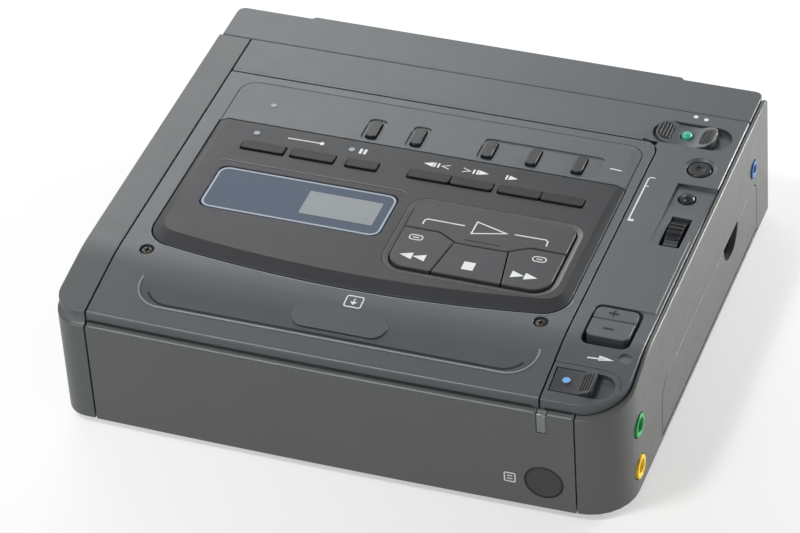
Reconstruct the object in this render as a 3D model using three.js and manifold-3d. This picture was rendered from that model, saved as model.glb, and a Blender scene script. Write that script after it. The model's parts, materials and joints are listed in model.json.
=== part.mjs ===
// A portable deck for eight-millimetre video cassettes, as separate solids in millimetres.
// X runs to the right, Y to the back and Z up. The origin is under the middle, on the table.
// Inside the groups every height counts from the case's lower edge, which the feet lift.
import * as THREE from 'three';
import { mergeVertices } from 'three/addons/utils/BufferGeometryUtils.js';
import Module from 'manifold-3d';

const wasm = await Module();
wasm.setup();

// The cassette, and the room that the case keeps round it
const cassetteWidth = 95;
const cassetteDepth = 62.5;
const cassetteHeight = 15;
const cassetteFit = 0.4;
const cassetteSideRoom = 52.2;
const cassetteFrontRoom = 13.95;
const drumRoom = 52.95;

// The case as a whole
const caseWidth = cassetteWidth + 2 * cassetteFit + cassetteSideRoom;
const caseDepth = cassetteDepth + cassetteFit + cassetteFrontRoom + drumRoom;
const topHeight = 36.8;
const footLift = 2;
const wall = 2.2;
const plate = 2.2;
const gap = 0.3;
const overrun = 4;
const frontCrown = 0.6;
const sideDraft = 0.2;
const cornerLeftRadius = 6.3;
const cornerRightRadius = 12;
const rearRadius = 2;

// The stepped ledge that runs round under the lid and the top panel
const ledgeFront = 1.5;
const ledgeSide = 1.5;
const upperRightRadius = 11;
const shelfWidth = 1.5;
const shelfWall = 2;
const ringDrop = 0.4;
const ringFrontHeight = 29.8;
const lidFrontHeight = 33.5;
const skirtWall = 1.4;
const slopeRun = 26.3;
const slopeBlend = 8;

// Where the shells part
const leftSeamInset = 9.24;
const frontSeamInset = 12.2;
const backCapDepth = 13.05;
const rearStripDepth = 13.9;
const controlStripWidth = 19.7;

// The back cover and the battery mount on it
const backCapInset = 0.8;
const backProud = 0.8;
const proudLeftInset = 22.4;
const proudRightInset = 23.7;
const mountWidth = 74;
const mountHeight = 27;
const mountSill = 5;
const mountSink = 1;
const mountThickness = 1.4;
const mountRadius = 2;
const railSlotWidth = 3.2;
const railSlotHeight = 8;
const railSlotInset = 6;
const terminalWidth = 20;
const terminalHeight = 6;
const terminalRise = 0.6;
const terminalSlot = 1.2;
const terminalPitch = 5;
const latchWidth = 9;
const latchHeight = 4;
const latchDepth = 4;
const latchSetback = 0.1;

// The lid
const lidCornerRadius = 5;
const lidGap = 0.45;
const hingePinRadius = 0.45;
const hingeBoreRadius = 0.75;
const hingePinReach = 2.4;
const pinRooting = 4;
const hingeRelief = 0.6;
const plateauSide = 5.2;
const plateauRightSide = 2.6;
const plateauRear = 3.8;
const plateauFront = 26.3;
const plateauBow = 3.7;
const plateauRise = 1.1;
const plateauRearRadius = 4.5;
const plateauFrontRadius = 7;
const bevelSide = 2.3;
const bevelFront = 4.3;
const bevelRear = 1.6;
const bandDepth = 18;
const dishLeft = 10.1;
const dishRight = 4.5;
const dishFront = 5.9;
const dishRun = 10;
const dishRadius = 6.8;
const dishSink = 1.1;
const pushPadLength = 24.6;
const pushPadWidth = 6.9;
const pushPadRise = 0.2;
const pushPadShift = 1;
const pushPadFront = 5.9;
const lidScrewRadius = 1.6;
const lidScrewSeat = 1.2;
const lidScrewInset = 7.1;
const lidScrewFront = 23.5;
const lidScrewShank = 1;

// The display window
const windowLeft = 8;
const windowWidth = 48.4;
const windowDepth = 16.8;
const windowFront = 9.6;
const windowRadius = 2.6;
const windowThickness = 1.2;
const windowSink = 0.15;
const windowGap = 0.2;

// How wide and deep the raised area and the case's side are where places on them count in full
const layoutWidth = 109.76;
const layoutDepth = 69.85;
const layoutSide = 128.4;

// Keys and buttons on the lid
const keyTravel = 0.5;
const keyGap = 0.25;
const keyFlange = 0.6;
const keyFlangeReach = 0.8;
const barRise = 0.5;
const barDepth = 3.2;
const barRow = 9.4;
const barRadius = 0.5;
const barStart = 10;
const recordLength = 11.5;
const recordPitch = 13.6;
const pauseStart = 38.6;
const pauseLength = 8.2;
const speedStart = 55.4;
const speedLength = 10.9;
const speedPitch = 11.3;
const speedPairPitch = 24.1;
const toolWidth = 2.6;
const toolDepth = 6.6;
const toolRadius = 0.8;
const toolRise = 0.5;
const toolRow = 12.6;
const toolRecess = 0.35;
const toolRecessRim = 1.2;
const toolRecessRadius = 1.6;
const dataStart = 40.6;
const screenStart = 52.7;
const effectStart = 72;
const titleStart = 83.8;
const zoomStart = 96;

// The cluster of transport keys
const clusterLeft = 61.7;
const clusterWidth = 42.1;
const clusterDepth = 25.6;
const clusterRow = 37.8;
const clusterRearRadius = 2.6;
const clusterFrontRadius = 4.5;
const clusterRise = 0.4;
const clusterRim = 1.9;
const clusterSink = 0.5;
const playDepth = 10.4;
const playBelly = 3;
const playShoulder = 9.2;
const playSlope = 5.3;
const stopLean = 2.9;

// The tray under the keys and the cassette holder
const trayRim = 1.5;
const trayRimWidth = 2.4;
const trayWall = 1;
const trayGap = 0.4;
const sheet = 0.8;
const lipWidth = 7;
const holderRearRoom = 25.2;
const holderPinRadius = 1;
const holderPinBore = 1.3;
const holderPinReach = 2.2;
const holderPinInset = 2.6;
const holderPinDrop = 3;
const holderWindowInset = 12;
const holderWindowRadius = 4;

// The deck inside
const bottomWall = 1.6;
const standoff = 2.4;
const boardThickness = 1.2;
const boardInset = 6;
const boardRightInset = 16;
const chassisHeight = 8;
const chassisThickness = 1.2;
const chassisMargin = 2;
const chassisFrontInset = 11.5;
const chassisRearReach = 6.5;
const chassisRadius = 4;
const bracketThickness = 1.2;
const bracketGap = 0.4;
const bracketDepth = 12;
const bracketCrown = 2.4;
const bossRadius = 3;
const bossPinRadius = 1.6;
const bossInset = 8;
const drumRadius = 13.3;
const drumTilt = 5;
const drumSeat = 0.3;
const drumBaseHeight = 9.5;
const drumGap = 0.4;
const drumHeight = 8.5;
const drumCapRadius = 10.5;
const drumCapStep = 1;
const drumClear = 16.5;
const drumShaftRadius = 3;
const reelSpacing = 41.5;
const reelTableRadius = 9;
const reelTableHeight = 1.6;
const reelRow = 31;
const spindleRadius = 3;
const spindleHeight = 11;
const spindleTip = 1.4;
const splineReach = 1;
const splineWidth = 1.2;
const reelLift = 0.4;
const reelShaftRadius = 1.4;
const reelShaftLength = 2;
const shaftClearance = 0.4;
const capstanRadius = 1.2;
const capstanShift = 30;
const capstanRow = 5.5;
const capstanTop = 26;
const flywheelRadius = 8;
const flywheelThickness = 1.6;
const flywheelGap = 0.5;
const pinchPivotShift = 42;
const pinchPivotRow = 8;
const pinchPostRadius = 1.6;
const pinchRollerRadius = 3.6;
const pinchRollerShift = 35;
const pinchRollerRow = 13;
const pinchArmWidth = 3;
const pinchArmThickness = 1.2;
const pinchArmLift = 2;
const pinchRollerHeight = 12;

// Controls on the right-hand strip
const powerLength = 20.8;
const powerWidth = 9.4;
const powerRow = 9.4;
const powerInset = 12.5;
const powerTravel = 3;
const sliderGap = 0.3;
const sliderFlange = 1;
const sliderFlangeThickness = 1.2;
const sliderLift = 0.15;
const wellDepth = 1.5;
const powerEndRoom = 1.15;
const powerCorner = 3;
const powerStemLength = 8.6;
const powerStemWidth = 5;
const saddleDrop = 0.5;
const saddleRise = 1.1;
const saddleRun = 5;
const lockRadius = 1.5;
const lockRise = 1;
const linkInset = 6.9;
const linkRow = 22;
const linkBowlRadius = 4.3;
const linkRadius = 3.1;
const linkRise = 0.4;
const linkBowlDepth = 0.7;
const linkDimpleRadius = 1.3;
const linkDimpleDepth = 0.4;
const trenchWidth = 10.4;
const trenchRear = 29.3;
const trenchLength = 25.4;
const trenchDepth = 0.9;
const menuInset = 6.6;
const menuRow = 34.2;
const menuRadius = 2.1;
const menuRise = 1.3;
const dialInset = 5.5;
const dialRow = 48.2;
const dialSlotWidth = 5.3;
const dialSlotLength = 12.3;
const dialRadius = 7.5;
const dialRise = 1.2;
const dialGap = 0.4;
const dialTeeth = 26;
const dialToothDepth = 0.35;
const dialAxleRadius = 1;
const dialBore = 1.4;
const dialSideGap = 0.8;
const dialCheek = 0.8;
const dialFrameDepth = 7;
const dialGuide = 1.2;
const volumeInset = 9.6;
const volumeRow = 87.3;
const volumeWidth = 12.3;
const volumeLength = 14.8;
const volumeRadius = 2.2;
const rockerWidth = 10.8;
const rockerLength = 11;
const rockerRadius = 1.6;
const rockerShift = 0.3;
const rockerRise = 0.7;
const rockerGroove = 0.3;
const rockerGrooveWidth = 0.5;
const rockerGrooveShift = 1.1;
const rockerDepth = 3.6;
const volumeFloor = 1.8;
const volumeWall = 1.1;
const volumeStep = 0.3;
const volumeStepInset = 1;
const ejectInset = 18.5;
const ejectFront = 3;
const ejectLength = 15.6;
const ejectWidth = 7.6;
const ejectPlateLength = 10.6;
const ejectTravel = 3;
const ejectCorner = 1;
const ejectRampRun = 3.6;
const ejectRampRise = 1.3;
const ejectCrest = 0.4;
const ejectStemInset = 1;
const ejectStemWidth = 4;
const ejectLipReach = 1.7;
const ejectLipGroove = 0.5;
const ejectLipDepth = 0.25;
const ejectDotRadius = 1.25;
const ejectDotRise = 0.15;
const dimpleRadius = 1.6;
const dimpleDepth = 0.3;
const dimpleInset = 3.3;
const dimpleFront = 18.1;

// Windows and sockets
const irRadius = 4.85;
const irInset = 8.1;
const irHeight = 8.2;
const irThickness = 1.6;
const lampWidth = 2.3;
const lampInset = 8.2;
const lampHeight = 5.6;
const lampThickness = 1.2;
const lampReach = 1.6;
const jackRadius = 3.1;
const jackRing = 1;
const jackMouthStep = 0.3;
const jackProud = 0.4;
const jackMouthDepth = 0.8;
const jackLength = 12;
const jackFlange = 1;
const jackBarrelRadius = 2.9;
const jackFront = 13.3;
const headphoneHeight = 20.2;
const lineHeight = 6.9;
const remoteRadius = 2.4;
const remoteBack = 14.8;
const remoteHeight = 23;

// The jack door on the right side
const doorFront = 31.7;
const doorLength = 84.5;
const doorTop = 17.3;
const doorThickness = 1.9;
const doorFrontRadius = 6;
const doorRearRadius = 3;
const doorGap = 0.25;
const doorAxisHeight = 2.2;
const doorBarrelRadius = 1.1;
const doorPinRadius = 0.45;
const doorPinBore = 0.7;
const doorPinReach = 1.2;
const doorNotchRadius = 6.4;
const doorNotchBack = 23.8;
const pocketDepth = 5.7;
const pocketWall = 1.5;
const pocketMargin = 2.2;
const portRow = 9.4;
const videoSocketRadius = 4.6;
const videoSocketBack = 22;
const digitalWidth = 7.2;
const digitalHeight = 4.6;
const digitalBack = 40;
const portReach = 1.2;
const portDepth = 9;

// Feet and screws
const footRadius = 5.5;
const footInset = 15;
const footPocket = 0.6;
const screwRadius = 1.9;
const screwHeight = 1;
const screwSink = 0.25;
const screwInset = 9;

// Fineness of the round stretches
const cornerSteps = 7;
const smallSteps = 3;
const crownSteps = 12;
const blendSteps = 5;
const roundSides = 26;
const smallSides = 14;
const pinSides = 12;

// Places worked out from the sizes above
const halfWidth = caseWidth / 2;
const frontY = -caseDepth / 2 + frontCrown;
const backY = caseDepth / 2 - backProud;
const upperRight = halfWidth - ledgeSide;
const upperFront = frontY + ledgeFront;
const leftSeam = -halfWidth + leftSeamInset;
const frontSeam = halfWidth - frontSeamInset;
const backSeam = backY - backCapDepth;
const lidRight = upperRight - controlStripWidth;
const lidRear = backSeam - rearStripDepth;
const lidCentre = (leftSeam + lidRight) / 2;
const slopeStart = frontY + slopeRun;
const innerSide = halfWidth - sideDraft - wall;
const plateUnder = topHeight - plate;
const plateauTop = topHeight + plateauRise;
const hingeY = lidRear - gap / 2 - plate / 2;
const hingeZ = topHeight - plate / 2;
const plateauLeft = leftSeam + plateauSide;
const plateauRight = lidRight - plateauRightSide;
const rearEdge = lidRear - plateauRear;
const frontEdge = upperFront + plateauFront;
const across = (plateauRight - plateauLeft) / layoutWidth;
const along = (rearEdge - frontEdge) / layoutDepth;
const beside = (backY - frontY) / layoutSide;
const bandY = rearEdge - bandDepth * along;
const keyFlangeTop = plateUnder - gap;
const keyBottom = keyFlangeTop - keyFlange;
const trayTop = keyBottom - keyTravel - gap;
const holderTop = trayTop - trayWall - trayGap;
const cassetteTop = holderTop - sheet;
const cassetteFloor = cassetteTop - cassetteHeight - cassetteFit;
const holderHalf = cassetteWidth / 2 + cassetteFit + sheet;
const holderRear = lidRear - holderRearRoom;
const holderFront = holderRear - cassetteDepth - cassetteFit;
const holderPinY = holderRear - holderPinInset;
const holderPinZ = holderTop - holderPinDrop;
const boardZ = bottomWall + standoff;
const chassisTop = chassisHeight + chassisThickness;
const bracketX = holderHalf + bracketGap;
const chassisHalf = bracketX + bracketThickness + chassisMargin;
const chassisFront = upperFront + chassisFrontInset;
const chassisRear = lidRear + chassisRearReach;
const drumY = holderRear + drumClear;

/** Turns a closed geometry into a solid. */
function toSolid(geometry) {
  const bare = geometry.clone();
  bare.deleteAttribute('normal');
  bare.deleteAttribute('uv');
  const merged = mergeVertices(bare);
  return new wasm.Manifold(new wasm.Mesh({
    numProp: 3,
    vertProperties: new Float32Array(merged.attributes.position.array),
    triVerts: new Uint32Array(merged.index.array),
  }));
}

/** Turns a solid back into a geometry with flat faces. */
function toGeometry(solid) {
  const mesh = solid.getMesh();
  const geometry = new THREE.BufferGeometry();
  geometry.setAttribute('position', new THREE.BufferAttribute(mesh.vertProperties, mesh.numProp));
  geometry.setIndex(new THREE.BufferAttribute(mesh.triVerts, 1));
  geometry.computeVertexNormals();
  return geometry;
}

/** A straight block between two corners. */
function block(x0, x1, y0, y1, z0, z1) {
  const geometry = new THREE.BoxGeometry(x1 - x0, y1 - y0, z1 - z0);
  geometry.translate((x0 + x1) / 2, (y0 + y1) / 2, (z0 + z1) / 2);
  return toSolid(geometry);
}

/** An upright prism over a plan outline. */
function prism(plan, z0, z1) {
  const shape = new THREE.Shape(plan.map(([x, y]) => new THREE.Vector2(x, y)));
  const geometry = new THREE.ExtrudeGeometry(shape, { depth: z1 - z0, bevelEnabled: false });
  geometry.translate(0, 0, z0);
  return toSolid(geometry);
}

/** A section in Y and Z, carried along X. */
function alongX(section, x0, x1) {
  const shape = new THREE.Shape(section.map(([y, z]) => new THREE.Vector2(y, z)));
  const geometry = new THREE.ExtrudeGeometry(shape, { depth: x1 - x0, bevelEnabled: false });
  const axes = new THREE.Matrix4().makeBasis(
    new THREE.Vector3(0, 1, 0), new THREE.Vector3(0, 0, 1), new THREE.Vector3(1, 0, 0));
  geometry.applyMatrix4(axes);
  geometry.translate(x0, 0, 0);
  return toSolid(geometry);
}

/** A section in X and Z, carried along Y. */
function alongY(section, y0, y1) {
  const shape = new THREE.Shape(section.map(([x, z]) => new THREE.Vector2(x, z)));
  const geometry = new THREE.ExtrudeGeometry(shape, { depth: y1 - y0, bevelEnabled: false });
  const axes = new THREE.Matrix4().makeBasis(
    new THREE.Vector3(1, 0, 0), new THREE.Vector3(0, 0, 1), new THREE.Vector3(0, -1, 0));
  geometry.applyMatrix4(axes);
  geometry.translate(0, y1, 0);
  return toSolid(geometry);
}

/** A solid between two plan outlines with the same number of points. */
function loft(lower, upper, z0, z1) {
  const count = lower.length;
  const positions = [];
  for (const [x, y] of lower) positions.push(x, y, z0);
  for (const [x, y] of upper) positions.push(x, y, z1);
  const flat = (plan) => plan.map(([x, y]) => new THREE.Vector2(x, y));
  const index = [];
  for (const [a, b, c] of THREE.ShapeUtils.triangulateShape(flat(lower), [])) index.push(a, c, b);
  for (const [a, b, c] of THREE.ShapeUtils.triangulateShape(flat(upper), [])) {
    index.push(a + count, b + count, c + count);
  }
  for (let i = 0; i < count; i += 1) {
    const next = (i + 1) % count;
    index.push(i, next, next + count, i, next + count, i + count);
  }
  const geometry = new THREE.BufferGeometry();
  geometry.setAttribute('position', new THREE.Float32BufferAttribute(positions, 3));
  geometry.setIndex(index);
  return toSolid(geometry);
}

/** An upright round bar, or a cone where the top radius differs. */
function post(x, y, radius, z0, z1, sides = roundSides, topRadius = radius) {
  const geometry = new THREE.CylinderGeometry(topRadius, radius, z1 - z0, sides);
  geometry.rotateX(Math.PI / 2);
  geometry.translate(x, y, (z0 + z1) / 2);
  return toSolid(geometry);
}

/** A round bar along X. */
function barX(y, z, radius, x0, x1, sides = pinSides) {
  const geometry = new THREE.CylinderGeometry(radius, radius, x1 - x0, sides);
  geometry.rotateZ(-Math.PI / 2);
  geometry.translate((x0 + x1) / 2, y, z);
  return toSolid(geometry);
}

/** A round bar along Y. */
function barY(x, z, radius, y0, y1, sides = pinSides) {
  const geometry = new THREE.CylinderGeometry(radius, radius, y1 - y0, sides);
  geometry.translate(x, (y0 + y1) / 2, z);
  return toSolid(geometry);
}

/** A turned piece about an upright axis, from [radius, height] points. */
function turned(profile, sides = roundSides) {
  const points = profile.map(([r, z]) => new THREE.Vector2(r, z));
  const geometry = new THREE.LatheGeometry(points, sides);
  geometry.rotateX(Math.PI / 2);
  return toSolid(geometry);
}

/** Points of an arc about a centre, with both ends; one point where the radius is nothing. */
function arc(cx, cy, radius, fromDegrees, toDegrees, steps) {
  if (radius <= 0) return [[cx, cy]];
  const points = [];
  for (let i = 0; i <= steps; i += 1) {
    const angle = THREE.MathUtils.degToRad(fromDegrees + (toDegrees - fromDegrees) * i / steps);
    points.push([cx + radius * Math.cos(angle), cy + radius * Math.sin(angle)]);
  }
  return points;
}

/** A rectangle in plan with a radius at each corner and a front edge that may bow forward. */
function plan({ left, right, front, back, frontLeft = 0, frontRight = 0, rearRight = 0, rearLeft = 0,
  bow = 0, steps = cornerSteps }) {
  const bowed = [];
  const start = left + frontLeft;
  const end = right - frontRight;
  for (let i = 1; bow > 0 && i < crownSteps; i += 1) {
    const share = i / crownSteps;
    const across = 2 * share - 1;
    bowed.push([start + (end - start) * share, front - bow * (1 - across * across)]);
  }
  return [
    ...arc(left + frontLeft, front + frontLeft, frontLeft, 180, 270, steps),
    ...bowed,
    ...arc(right - frontRight, front + frontRight, frontRight, 270, 360, steps),
    ...arc(right - rearRight, back - rearRight, rearRight, 0, 90, steps),
    ...arc(left + rearLeft, back - rearLeft, rearLeft, 90, 180, steps),
  ];
}

/** A rectangle in plan with one radius all round. */
function rounded(x0, x1, y0, y1, radius, steps = smallSteps) {
  return plan({ left: x0, right: x1, front: y0, back: y1, frontLeft: radius, frontRight: radius,
    rearRight: radius, rearLeft: radius, steps });
}

/** The lower body's outline, drawn in by an amount on each side. */
function lowerPlan({ left = 0, right = 0, front = 0, back = 0 }) {
  return plan({
    left: -halfWidth + left,
    right: halfWidth - right,
    front: frontY + front,
    back: backY - back,
    frontLeft: cornerLeftRadius - Math.min(left, front),
    frontRight: cornerRightRadius - Math.min(right, front),
    bow: frontCrown,
  });
}

/** The outline of everything above the ledge, grown by an amount. */
function upperPlan(grow) {
  return plan({
    left: -halfWidth - Math.max(grow, 0),
    right: upperRight + grow,
    front: upperFront - grow,
    back: backY + overrun,
    frontLeft: cornerLeftRadius + grow,
    frontRight: upperRightRadius + grow,
    bow: frontCrown,
  });
}

/** A top profile: flat at the back, then a soft crease and a straight slope to the front. */
function slope(top, frontHeight, frontAt) {
  const straight = slopeStart - slopeBlend - frontAt;
  const grade = (top - frontHeight) / (slopeBlend / 2 + straight);
  return (y) => {
    const past = slopeStart - y;
    if (past <= 0) return top;
    if (past <= slopeBlend) return top - grade * past * past / slopeBlend / 2;
    return top - grade * (past - slopeBlend / 2);
  };
}

const topAt = slope(topHeight, lidFrontHeight, upperFront);
const ringAt = slope(topHeight - ringDrop, ringFrontHeight, frontY);

/** The profile's points from the back to the front, lowered by an amount. */
function profilePoints(heightAt, drop, back, front) {
  const points = [[back, heightAt(back) - drop]];
  for (let i = 0; i <= blendSteps; i += 1) {
    const y = slopeStart - slopeBlend * i / blendSteps;
    points.push([y, heightAt(y) - drop]);
  }
  points.push([front, heightAt(front) - drop]);
  return points;
}

/** All that lies under a lowered profile. */
function under(heightAt, drop) {
  const back = backY + overrun;
  const front = frontY - overrun;
  const section = [...profilePoints(heightAt, drop, back, front), [front, -overrun], [back, -overrun]];
  return alongX(section, -halfWidth - overrun, halfWidth + overrun);
}

const farFront = frontY - overrun;
const farBack = backY + overrun;
const farLeft = -halfWidth - overrun;
const farRight = halfWidth + overrun;
const farTop = topHeight + overrun;

const lowerBody = loft(lowerPlan({}), lowerPlan({ right: sideDraft }), 0, topHeight)
  .intersect(under(ringAt, 0));
const upperBody = prism(upperPlan(0), 0, farTop).intersect(under(topAt, 0));
const ringDepth = plate + gap + shelfWall - ringDrop;
const lowerVoid = prism(lowerPlan({ left: wall, right: sideDraft + wall, front: wall, back: -overrun }),
  -overrun, farTop).intersect(under(ringAt, ringDepth));
const throat = prism(upperPlan(-shelfWidth), -overrun, farTop);
const plateSeat = prism(upperPlan(gap), -overrun, farTop).subtract(under(topAt, plate + gap));
const ringShell = lowerBody.subtract(lowerVoid).subtract(throat).subtract(plateSeat);
const topSlab = upperBody.subtract(under(topAt, plate));
const skirt = prism(upperPlan(0), -overrun, farTop).subtract(prism(upperPlan(-skirtWall), -overrun, farTop))
  .intersect(under(topAt, plate / 2)).subtract(under(ringAt, -gap));

/** The side wall's outer face at a height. */
function sideAt(z) {
  return halfWidth - sideDraft * z / topHeight;
}

/** A circle in plan. */
function circle(x, y, radius, sides = smallSides) {
  return arc(x, y, radius, 0, 360 - 360 / sides, sides - 1);
}

// The jack door's outline and hinge, shared by the door and the side cover
const doorY0 = frontY + doorFront * beside;
const doorY1 = doorY0 + doorLength * beside;
const doorAxisX = sideAt(doorAxisHeight) - doorBarrelRadius;
const doorNotchY = doorY1 - doorNotchBack * beside;

/** The door's outline in Y and Z, grown by an amount. */
function doorOutline(grow) {
  return plan({ left: doorY0 - grow, right: doorY1 + grow, front: doorAxisHeight, back: doorTop + grow,
    rearLeft: doorFrontRadius + grow, rearRight: doorRearRadius + grow });
}

/** The lid's outline in plan, grown by an amount; it runs past the front. */
function lidPlan(grow) {
  return plan({
    left: leftSeam + gap / 2 - grow,
    right: lidRight - gap / 2 + grow,
    front: farFront,
    back: lidRear - gap / 2 + grow,
    rearRight: lidCornerRadius + grow,
  });
}

/** The raised area's outline, drawn in by the bevel. */
function plateauPlan(side, front, rear) {
  return plan({
    left: plateauLeft + side,
    right: plateauRight - side,
    front: frontEdge + front,
    back: rearEdge - rear,
    frontLeft: plateauFrontRadius - side,
    frontRight: plateauFrontRadius - side,
    rearLeft: plateauRearRadius - side,
    rearRight: plateauRearRadius - side,
    bow: plateauBow,
  });
}

const plateau = prism(plateauPlan(0, 0, 0), plateUnder, topHeight)
  .add(loft(plateauPlan(0, 0, 0), plateauPlan(bevelSide, bevelFront, bevelRear), topHeight, plateauTop));
const bandSide = block(farLeft, farRight, bandY + gap / 2, farBack, -overrun, farTop);
const fasciaSide = block(farLeft, farRight, farFront, bandY - gap / 2, -overrun, farTop);

// The control places on the lid, from the raised area's left edge and rear edge
const barRowY = bandY - barRow * along;
const toolY = rearEdge - toolRow * along;
const clusterRear = rearEdge - clusterRow * along;
const clusterFront = clusterRear - clusterDepth * along;
const clusterX0 = plateauLeft + clusterLeft * across;
const clusterX1 = clusterX0 + clusterWidth * across;
const windowX0 = plateauLeft + windowLeft * across;
const windowY0 = clusterFront + windowFront * along;
const barHalf = barDepth * along / 2;
const toolHalfX = toolWidth * across / 2;
const toolHalfY = toolDepth * along / 2;

const barKeys = [
  ['record_key_left', barStart, recordLength],
  ['record_key_right', barStart + recordPitch, recordLength],
  ['pause_key', pauseStart, pauseLength],
  ['frame_back_key', speedStart, speedLength],
  ['frame_forward_key', speedStart + speedPitch, speedLength],
  ['slow_key', speedStart + speedPairPitch, speedLength],
  ['double_speed_key', speedStart + speedPairPitch + speedPitch, speedLength],
];
const toolKeys = [
  ['data_button', dataStart],
  ['screen_button', screenStart],
  ['effect_button', effectStart],
  ['title_button', titleStart],
  ['zoom_button', zoomStart],
];

/** A bar key's plan, grown by an amount. */
function barPlan(start, length, grow) {
  const x = plateauLeft + start * across;
  return rounded(x - grow, x + length * across + grow, barRowY - barHalf - grow, barRowY + barHalf + grow,
    barRadius);
}

/** A tool button's plan, grown by an amount. */
function toolPlan(start, grow, radius = toolRadius) {
  const x = plateauLeft + start * across;
  return rounded(x - toolHalfX - grow, x + toolHalfX + grow, toolY - toolHalfY - grow,
    toolY + toolHalfY + grow, radius);
}

/** The transport cluster's plan, grown by an amount. */
function clusterPlan(grow) {
  return plan({ left: clusterX0 - grow, right: clusterX1 + grow, front: clusterFront - grow,
    back: clusterRear + grow, frontLeft: clusterFrontRadius + grow, frontRight: clusterFrontRadius + grow,
    rearLeft: clusterRearRadius + grow, rearRight: clusterRearRadius + grow });
}

/** The display window's plan, grown by an amount. */
function windowPlan(grow) {
  return rounded(windowX0 - grow, windowX0 + windowWidth * across + grow, windowY0 - grow,
    windowY0 + windowDepth * along + grow, windowRadius, cornerSteps);
}

/** A key cap with the flange that keeps it under its cover. */
function keySolid(capPlan, flangePlan, top) {
  return prism(capPlan, keyBottom, top).add(prism(flangePlan, keyBottom, keyFlangeTop));
}

function makeLidCover() {
  const rearArc = arc(hingeY, hingeZ, plate / 2, -90, 90, cornerSteps);
  const upper = profilePoints(topAt, 0, hingeY, farFront).slice(1);
  const lower = profilePoints(topAt, plate, hingeY, farFront).slice(1).reverse();
  let lid = alongX([...rearArc, ...upper, ...lower], farLeft, farRight)
    .intersect(prism(lidPlan(0), -overrun, farTop))
    .intersect(prism(upperPlan(0), -overrun, farTop))
    .add(skirt.intersect(prism(lidPlan(0), -overrun, farTop)));
  const pit = prism(plateauPlan(-gap, -gap, 0), -overrun, farTop)
    .intersect(block(farLeft, farRight, farFront, bandY + gap / 2, -overrun, farTop));
  lid = lid.add(plateau.intersect(bandSide)).subtract(pit);
  const recessFloor = plateauTop - toolRecess;
  for (const [, start] of toolKeys) {
    lid = lid.subtract(prism(toolPlan(start, toolRecessRim, toolRecessRadius), recessFloor, farTop));
    lid = lid.subtract(prism(toolPlan(start, keyGap), -overrun, farTop));
  }
  const shared = rounded(plateauLeft + effectStart * across - toolHalfX - toolRecessRim,
    plateauLeft + zoomStart * across + toolHalfX + toolRecessRim + barDepth,
    toolY - toolHalfY - toolRecessRim, toolY + toolHalfY + toolRecessRim, toolRecessRadius);
  lid = lid.subtract(prism(shared, recessFloor, farTop));
  const dishX0 = leftSeam + dishLeft;
  const dishX1 = lidRight - dishRight;
  const dishY0 = upperFront + dishFront;
  const dishY1 = dishY0 + dishRun;
  const dish = prism(plan({ left: dishX0, right: dishX1, front: dishY0, back: dishY1 + dishRadius,
    frontLeft: dishRadius, frontRight: dishRadius, steps: cornerSteps }), -overrun, farTop);
  const floor = [];
  for (let i = 0; i <= blendSteps; i += 1) {
    const share = i / blendSteps;
    const y = dishY0 + dishRun * share;
    floor.push([y, topAt(y) - dishSink * (1 - share) ** 2]);
  }
  const dishFloor = alongX([...floor, [dishY1, farTop], [dishY0, farTop]], farLeft, farRight);
  const padX = (dishX0 + dishX1) / 2 + pushPadShift;
  const padY = dishY0 + pushPadFront;
  const pad = prism(stadium(padX, padY, pushPadLength, pushPadWidth), plateUnder - plate, farTop)
    .intersect(under(topAt, -pushPadRise)).subtract(under(topAt, plate));
  lid = lid.subtract(dish.intersect(dishFloor)).add(pad);
  for (const x of lidScrewPlaces()) {
    lid = lid.subtract(post(x, lidScrewY, lidScrewRadius + gap, topAt(lidScrewY) - lidScrewSeat, farTop));
    lid = lid.subtract(post(x, lidScrewY, lidScrewShank + gap, -overrun, farTop, pinSides));
  }
  const leftEnd = leftSeam + gap / 2;
  const rightEnd = lidRight - gap / 2;
  return lid
    .add(barX(hingeY, hingeZ, hingePinRadius, leftEnd - hingePinReach, leftEnd + pinRooting))
    .add(barX(hingeY, hingeZ, hingePinRadius, rightEnd - pinRooting, rightEnd + hingePinReach));
}

const lidScrewY = upperFront + lidScrewFront;

function lidScrewPlaces() {
  return [leftSeam + lidScrewInset, lidRight - lidScrewInset];
}

/** A lid screw: a head that sits in its counterbore, and its shank. */
function makeLidScrew(x) {
  const seat = topAt(lidScrewY) - lidScrewSeat + gap;
  const head = post(x, lidScrewY, lidScrewRadius, seat, topAt(lidScrewY) - screwSink, smallSides);
  return head.add(post(x, lidScrewY, lidScrewShank, topAt(lidScrewY) - plate - lidScrewSeat,
    seat + screwSink, pinSides));
}

function makeFascia() {
  let fascia = plateau.intersect(fasciaSide);
  const windowSeat = plateauTop - windowThickness - windowSink - gap;
  fascia = fascia.subtract(prism(windowPlan(windowGap), windowSeat, farTop));
  fascia = fascia.subtract(prism(clusterPlan(clusterRim), plateauTop - clusterSink, farTop));
  fascia = fascia.subtract(prism(clusterPlan(keyGap), -overrun, farTop));
  for (const [, start, length] of barKeys) {
    fascia = fascia.subtract(prism(barPlan(start, length, keyGap), -overrun, farTop));
  }
  return fascia;
}

function makeDisplayWindow() {
  const top = plateauTop - windowSink;
  return prism(windowPlan(0), top - windowThickness, top);
}

/** A bar key; its flange reaches out only to the front and the back, where no key is near. */
function makeBarKey(start, length) {
  const x = plateauLeft + start * across;
  const reach = barHalf + keyFlangeReach;
  const flange = rounded(x, x + length * across, barRowY - reach, barRowY + reach, barRadius);
  return keySolid(barPlan(start, length, 0), flange, plateauTop + barRise);
}

function makeToolButton(start) {
  return keySolid(toolPlan(start, 0), toolPlan(start, keyFlangeReach), plateauTop + toolRise);
}

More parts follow.
